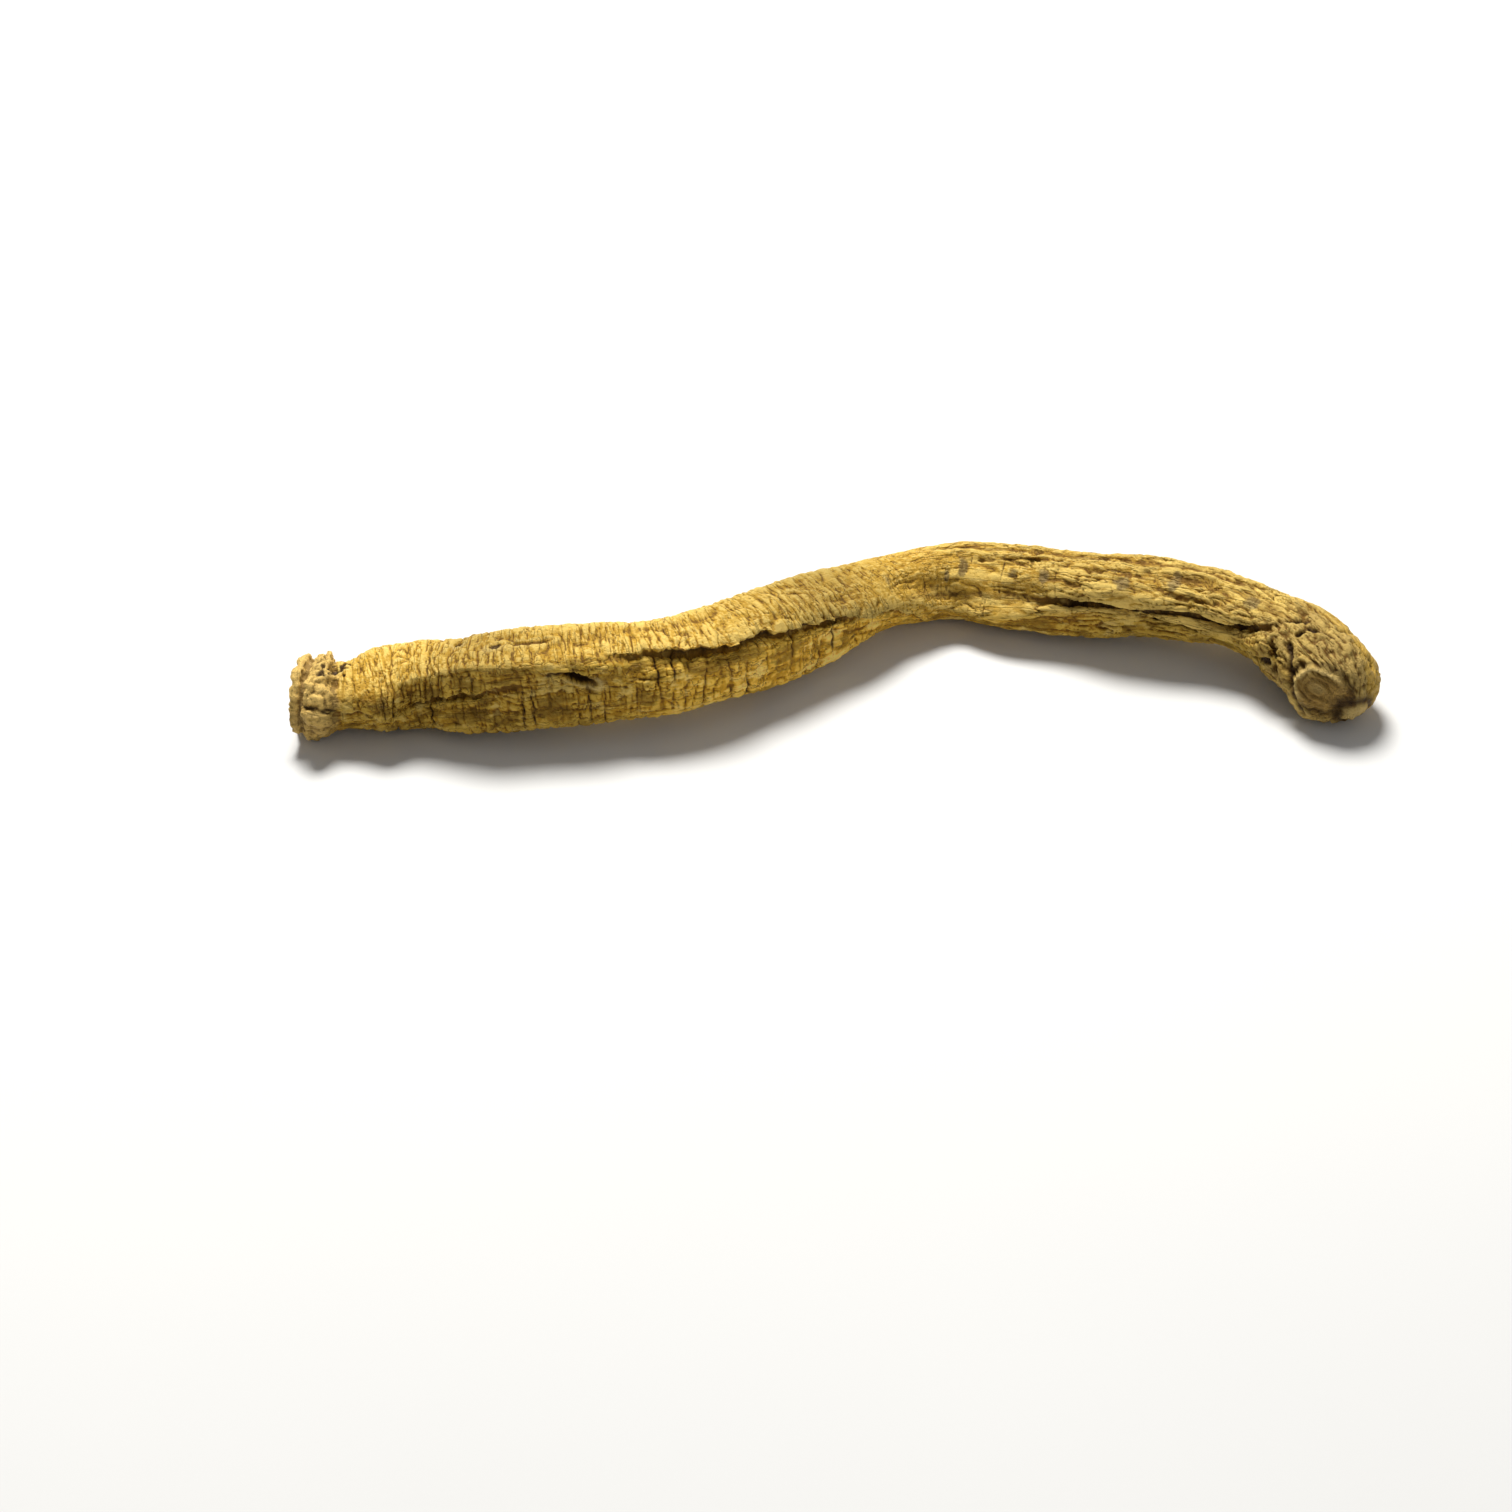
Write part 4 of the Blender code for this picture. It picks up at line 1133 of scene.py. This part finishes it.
class Nodes:
    """Short calls that add nodes to one material and join them."""

    def __init__(self, material):
        material.use_nodes = True
        self.tree = material.node_tree
        self.shader = self.tree.nodes["Principled BSDF"]

    def add(self, kind, **settings):
        node = self.tree.nodes.new(kind)
        for name, value in settings.items():
            setattr(node, name, value)
        return node

    def join(self, output, socket):
        self.tree.links.new(output, socket)

    def put(self, value, socket):
        """Joins an output to a socket, or sets the socket to a number or a colour."""
        if isinstance(value, bpy.types.NodeSocket):
            self.join(value, socket)
        else:
            socket.default_value = value

    def value(self, name):
        return self.add("ShaderNodeAttribute", attribute_name=name).outputs["Fac"]

    def math(self, operation, first, second=0.0):
        node = self.add("ShaderNodeMath", operation=operation)
        self.put(first, node.inputs[0])
        self.put(second, node.inputs[1])
        return node.outputs[0]

    def times(self, value, share):
        return self.math("MULTIPLY", value, share)

    def noise(self, where, scale, stretch=(1, 1, 1), detail=3.0, rough=0.55):
        """Noise with cells of about 1 / scale metres, drawn out by stretch."""
        mapping = self.add("ShaderNodeMapping")
        self.join(where, mapping.inputs["Vector"])
        mapping.inputs["Scale"].default_value = stretch
        node = self.add("ShaderNodeTexNoise")
        self.join(mapping.outputs[0], node.inputs["Vector"])
        node.inputs["Scale"].default_value = scale
        node.inputs["Detail"].default_value = detail
        node.inputs["Roughness"].default_value = rough
        return node.outputs["Fac"]

    def range(self, value, low, high):
        """0 where value is low, 1 where it is high, and smooth between."""
        node = self.add("ShaderNodeMapRange", interpolation_type="SMOOTHSTEP")
        self.put(value, node.inputs["Value"])
        node.inputs["From Min"].default_value = low
        node.inputs["From Max"].default_value = high
        return node.outputs["Result"]

    def mix(self, share, first, second, blend="MIX"):
        """Mixes two colours. A mix node's colours are its inputs 6 and 7 and its output 2."""
        node = self.add("ShaderNodeMix", data_type="RGBA", blend_type=blend)
        self.put(share, node.inputs["Factor"])
        self.put(first, node.inputs[6])
        self.put(second, node.inputs[7])
        return node.outputs[2]

    def layer(self, base, layer, value, within=1.0):
        """Lays a layer's colour on the base as the value goes through its range, within a second share."""
        whole = self.times(self.range(value, layer.low, layer.high), within)
        return self.mix(self.times(whole, layer.share), base, layer.colour)

    def cover(self, base, name, share, colour):
        """Lays a colour on the base where the mesh's value of that name says."""
        return self.mix(self.times(self.value(name), share), base, colour)

    def bump(self, height, distance, strength, under=None):
        node = self.add("ShaderNodeBump")
        self.join(height, node.inputs["Height"])
        node.inputs["Distance"].default_value = distance
        node.inputs["Strength"].default_value = strength
        if under is not None:
            self.join(under, node.inputs["Normal"])
        return node.outputs["Normal"]


GOLD = (0.64, 0.375, 0.045, 1.0)
STRAW = (0.90, 0.64, 0.17, 1.0)
OCHRE = (0.45, 0.240, 0.022, 1.0)
DULL = (0.50, 0.315, 0.062, 1.0)
BROWN = (0.170, 0.078, 0.009, 1.0)
CRACK_AND_SHADE = (0.040, 0.018, 0.004, 1.0)
FRONT_SHADE_TINT = (0.92, 0.82, 0.36, 1.0)
UMBER = (0.23, 0.125, 0.012, 1.0)
CORK = (0.34, 0.220, 0.068, 1.0)
TAN = (0.80, 0.530, 0.165, 1.0)
BARK_DARK = (0.17, 0.105, 0.026, 1.0)
BARK_PALE = (0.52, 0.350, 0.105, 1.0)
CUT_DARK = (0.09, 0.048, 0.010, 1.0)
MARK_DARK = (0.15, 0.098, 0.032, 1.0)
MARK_PALE = (0.36, 0.258, 0.105, 1.0)
PALE_CUT = (0.74, 0.540, 0.200, 1.0)
CUT = (0.37, 0.215, 0.046, 1.0)

# The material's noises, as (scale, stretch, detail, roughness), and the middle of their values.
NOISE_MIDDLE = 0.5
RING_GRAIN = (620, (1, 0.20, 0.20), 2, 0.55)
GROOVE_GRAIN = (620, (0.16, 1, 1), 2, 0.55)
RING_STROKES = (1300, (1, 0.35, 0.35), 2, 0.6)
GROOVE_STROKES = (1500, (0.30, 1, 1), 2, 0.6)
CLOUDS = (130, (0.6, 1, 1), 4, 0.55)
BLOTCHES = (360, (0.45, 1, 1), 3, 0.6)
FLECKS = (2600, (1, 1, 1), 3, 0.6)
KNOTS = (900, (0.5, 1, 1), 3, 0.6)
BILLOWS = (1500, (1, 0.8, 0.8), 4, 0.65)
FIBRES = (2400, (0.22, 1, 1), 4, 0.65)

# The grain runs round the root before this stretch, less so on the front, and along it past the stretch.
GRAIN_TURNS = (0.122, 0.085)
FRONT_GRAIN = 0.65
# How far the tail's duller colour is drawn out by the clouds.
DULL_WANDER = 0.05
# The colours over the gold: what each reads, the values where it begins and is whole, and its share there.
SKIN_LAYERS = [
    Layer("dull", 0.130, 0.200, 0.85, DULL),
    Layer("clouds", 0.42, 0.70, 0.60, OCHRE),
    Layer("course", 0.52, 0.66, 0.45, STRAW),
    Layer("course", 0.47, 0.34, 0.55, OCHRE),
    Layer("strokes", 0.54, 0.68, 0.45, STRAW),
    Layer("strokes", 0.46, 0.32, 0.55, OCHRE),
    # Painted light from the relief: straw on the crests as painted highlight, and brown in the hollows as
    # painted shade.
    Layer("shade_and_highlight", -0.04, -0.55, 0.75, STRAW),
    Layer("shade_and_highlight", 0.05, 0.70, 0.85, BROWN),
]
# How far the front is darkened towards olive, as painted shade.
FRONT_SHADE = 0.80
# The patches of the front, which the tail half's top has less of, from this stretch on.
PATCHES_START = (0.095, 0.125)
TOP_PATCHES = 0.55
PATCH_LAYERS = [
    Layer("blotches", 0.51, 0.37, 0.70, UMBER),
    Layer("bright", 1.52, 1.80, 0.85, STRAW),
]
LINES = Layer("line", 0.013, 0.003, 0.70, BROWN)
# Bark: how much its crumbs and knots darken in the hollows as painted shade, and the ranges of its flecks,
# knots and hollows.
BARK_SHADE = -0.16
CRUMBS_RANGE = (0.38, 0.62)
KNOTS_RANGE = (0.36, 0.66)
BARK_HOLLOW_SHADE = Layer("shade_and_highlight", 0.05, 0.6, 0.75, BROWN)
BARK_COVER, COLLAR_COVER, FLANK_COVER = 0.80, 0.75, 0.55
# Marks and cuts: the ranges of their strokes, and how well each covers the skin.
MARK_RANGE = (0.42, 0.60)
MARK_SPREAD = (0.20, 0.75)
CUT_RANGE = (0.36, 0.62)
MARK_COVER, END_COVER, CUT_COVER, RIM_COVER = 0.80, 0.70, 0.75, 0.80
# Near black over the cracks and burnt patches, and painted shade in the folds, crevices, pits and scar rings.
CRACKS_AND_SHADE = Layer("crack_and_shade", 0.15, 0.80, 0.94, CRACK_AND_SHADE)
# Bumps, as (distance, strength).
BILLOW_BUMP = (0.0008, 0.9)
FIBRE_BUMP = (0.00035, 0.7)
LINE_BUMP = (0.00016, 0.8)
LINE_WIDTH = 0.05
LEAST_ROUGHNESS, MORE_ROUGHNESS = 0.42, 0.25
SHEEN_LEVEL = 0.16

FLOOR_HALF = 1.6
FLOOR_CLOUDS = 6
FLOOR_TONES = [(0.72, 0.72, 0.715, 1), (0.76, 0.76, 0.755, 1)]
FLOOR_ROUGHNESS = 0.9

KEY = Lamp((-0.12, 0.40, 0.80), 0.38, 12.5, (1.0, 0.985, 0.95))
FILL = Lamp((0.35, -0.65, 0.55), 0.60, 0.5, (0.98, 0.99, 1.0))
WORLD_STRENGTH = 0.22


def skin_grain(nodes, unbent, place):
    """Lines and streaks that run round the crown half's upper face, and along the root elsewhere."""
    upper = nodes.math("SUBTRACT", 1.0, nodes.times(nodes.value("front"), FRONT_GRAIN))
    round_it = nodes.times(nodes.range(place, *GRAIN_TURNS), upper)
    course = nodes.mix(round_it, nodes.noise(unbent, *GROOVE_GRAIN), nodes.noise(unbent, *RING_GRAIN))
    strokes = nodes.mix(round_it, nodes.noise(unbent, *GROOVE_STROKES), nodes.noise(unbent, *RING_STROKES))
    return course, strokes, nodes.math("ABSOLUTE", nodes.math("SUBTRACT", course, NOISE_MIDDLE))


def golden_skin(nodes, unbent, place, course, strokes, line):
    """Golden skin: straw and ochre streaks and clouds, straw on the crests as painted highlight, brown in the
    hollows and olive on the front as painted shade, and thin brown lines.
    """
    reads = {"course": course, "strokes": strokes, "line": line, "shade_and_highlight": nodes.value("shade_and_highlight")}
    reads["clouds"] = nodes.noise(unbent, *CLOUDS)
    reads["blotches"] = nodes.noise(unbent, *BLOTCHES)
    reads["dull"] = nodes.math("ADD", place, nodes.times(reads["clouds"], DULL_WANDER))
    reads["bright"] = nodes.math("ADD", strokes, nodes.math("ADD", course, reads["blotches"]))
    base = GOLD
    for layer in SKIN_LAYERS:
        base = nodes.layer(base, layer, reads[layer.reads])
    front = nodes.value("front")
    # Painted shade: the front is multiplied towards olive.
    base = nodes.mix(nodes.times(front, FRONT_SHADE), base, FRONT_SHADE_TINT, "MULTIPLY")
    patchy = nodes.math("MAXIMUM", front, nodes.times(nodes.range(place, *PATCHES_START), TOP_PATCHES))
    for layer in PATCH_LAYERS:
        base = nodes.layer(base, layer, reads[layer.reads], patchy)
    return nodes.layer(base, LINES, line)


def barked(nodes, unbent, base):
    """The pale crumbs of the collar and the brown corky bark of the tail's end, over the skin, with painted
    shade in their hollows.
    """
    shade_and_highlight = nodes.value("shade_and_highlight")
    # Painted shade: the crumbs and knots turn darker in the hollows.
    shade = nodes.times(shade_and_highlight, BARK_SHADE)
    flecks = nodes.math("ADD", nodes.noise(unbent, *FLECKS), shade)
    knots = nodes.math("ADD", nodes.noise(unbent, *KNOTS), shade)
    crumbly = nodes.mix(nodes.range(flecks, *CRUMBS_RANGE), CORK, TAN)
    corky = nodes.mix(nodes.range(knots, *KNOTS_RANGE), BARK_DARK, BARK_PALE)
    corky = nodes.layer(corky, BARK_HOLLOW_SHADE, shade_and_highlight)
    base = nodes.cover(base, "bark", BARK_COVER, corky)
    base = nodes.cover(base, "collar", COLLAR_COVER, crumbly)
    return nodes.cover(base, "flank", FLANK_COVER, GOLD)


def marked(nodes, base, strokes):
    """Grey corky marks, the cut end, the rootlets' scars with their pale rims, and the dark cracks, pits and
    burnt patches, with painted shade in the folds, crevices and scar rings.
    """
    scratched = nodes.mix(nodes.range(strokes, *MARK_RANGE), MARK_DARK, MARK_PALE)
    scratchy = nodes.math("ADD", nodes.value("mark"), nodes.math("SUBTRACT", NOISE_MIDDLE, strokes))
    base = nodes.mix(nodes.times(nodes.range(scratchy, *MARK_SPREAD), MARK_COVER), base, scratched)
    fibrous = nodes.mix(nodes.range(strokes, *CUT_RANGE), CUT_DARK, CUT)
    base = nodes.cover(base, "end", END_COVER, fibrous)
    base = nodes.cover(base, "cut", CUT_COVER, CUT)
    base = nodes.cover(base, "rim", RIM_COVER, PALE_CUT)
    return nodes.layer(base, CRACKS_AND_SHADE, nodes.value("crack_and_shade"))


def skin_bumps(nodes, unbent, line):
    """Fine billows, fibres and the thin lines, too small for the mesh."""
    billow = nodes.math("SUBTRACT", nodes.noise(unbent, *BILLOWS), NOISE_MIDDLE)
    normal = nodes.bump(nodes.math("ABSOLUTE", billow), *BILLOW_BUMP)
    normal = nodes.bump(nodes.noise(unbent, *FIBRES), *FIBRE_BUMP, normal)
    return nodes.bump(nodes.range(line, 0.0, LINE_WIDTH), *LINE_BUMP, normal)


def skin_material():
    material = bpy.data.materials.new("root_skin")
    nodes = Nodes(material)
    unbent = nodes.add("ShaderNodeAttribute", attribute_name="unbent").outputs["Vector"]
    split = nodes.add("ShaderNodeSeparateXYZ")
    nodes.join(unbent, split.inputs[0])
    place = split.outputs[0]
    course, strokes, line = skin_grain(nodes, unbent, place)
    base = golden_skin(nodes, unbent, place, course, strokes, line)
    base = marked(nodes, barked(nodes, unbent, base), strokes)
    # How light the skin is along the root, partly its own colour and partly painted light and shade, scales
    # the colour.
    toned_and_lit = nodes.add("ShaderNodeVectorMath", operation="SCALE")
    nodes.join(base, toned_and_lit.inputs[0])
    nodes.join(nodes.value("tone_and_light"), toned_and_lit.inputs["Scale"])
    nodes.join(toned_and_lit.outputs[0], nodes.shader.inputs["Base Color"])
    rough = nodes.math("ADD", nodes.times(strokes, MORE_ROUGHNESS), LEAST_ROUGHNESS)
    nodes.join(rough, nodes.shader.inputs["Roughness"])
    nodes.shader.inputs["Specular IOR Level"].default_value = SHEEN_LEVEL
    nodes.join(skin_bumps(nodes, unbent, line), nodes.shader.inputs["Normal"])
    return material


def floor_material():
    """Matt white card, very slightly uneven."""
    material = bpy.data.materials.new("floor")
    nodes = Nodes(material)
    where = nodes.add("ShaderNodeTexCoord").outputs["Object"]
    nodes.join(nodes.mix(nodes.noise(where, FLOOR_CLOUDS), *FLOOR_TONES), nodes.shader.inputs["Base Color"])
    nodes.shader.inputs["Roughness"].default_value = FLOOR_ROUGHNESS
    return material


def make_floor():
    mesh = bpy.data.meshes.new("floor")
    corners = [(x * FLOOR_HALF, y * FLOOR_HALF, 0) for x, y in [(-1, -1), (1, -1), (1, 1), (-1, 1)]]
    mesh.from_pydata(corners, [], [(0, 1, 2, 3)])
    floor = bpy.data.objects.new("floor", mesh)
    floor.data.materials.append(floor_material())
    bpy.context.scene.collection.objects.link(floor)


def make_camera():
    elevation = math.radians(CAMERA_ELEVATION)
    back = Vector((0, -math.cos(elevation), math.sin(elevation)))
    camera = bpy.data.objects.new("camera", bpy.data.cameras.new("camera"))
    camera.data.lens = CAMERA_LENS
    camera.location = Vector(CAMERA_AIM) + CAMERA_DISTANCE * back
    camera.rotation_euler = back.to_track_quat("Z", "Y").to_euler()
    bpy.context.scene.collection.objects.link(camera)
    bpy.context.scene.camera = camera


def make_area_light(name, lamp):
    light = bpy.data.lights.new(name, "AREA")
    light.shape = "DISK"
    light.size = lamp.size
    light.energy = lamp.power
    light.color = lamp.colour
    placed = bpy.data.objects.new(name, light)
    placed.location = lamp.place
    placed.rotation_euler = Vector(lamp.place).to_track_quat("Z", "Y").to_euler()
    bpy.context.scene.collection.objects.link(placed)


def make_light():
    make_area_light("key", KEY)
    make_area_light("fill", FILL)
    world = bpy.data.worlds.new("studio")
    world.use_nodes = True
    world.node_tree.nodes["Background"].inputs["Color"].default_value = (1, 1, 1, 1)
    world.node_tree.nodes["Background"].inputs["Strength"].default_value = WORLD_STRENGTH
    bpy.context.scene.world = world
    bpy.context.scene.view_settings.view_transform = "Standard"


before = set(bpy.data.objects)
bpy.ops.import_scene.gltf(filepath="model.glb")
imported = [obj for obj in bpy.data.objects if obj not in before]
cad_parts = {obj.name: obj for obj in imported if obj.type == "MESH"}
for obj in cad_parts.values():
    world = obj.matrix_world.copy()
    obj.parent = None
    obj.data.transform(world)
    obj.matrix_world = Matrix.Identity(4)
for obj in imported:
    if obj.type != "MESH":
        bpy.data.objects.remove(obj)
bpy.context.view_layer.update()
skin = make_skin()
skin.data.materials.append(skin_material())
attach(skin, "root")
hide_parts("root")
make_floor()
make_camera()
make_light()
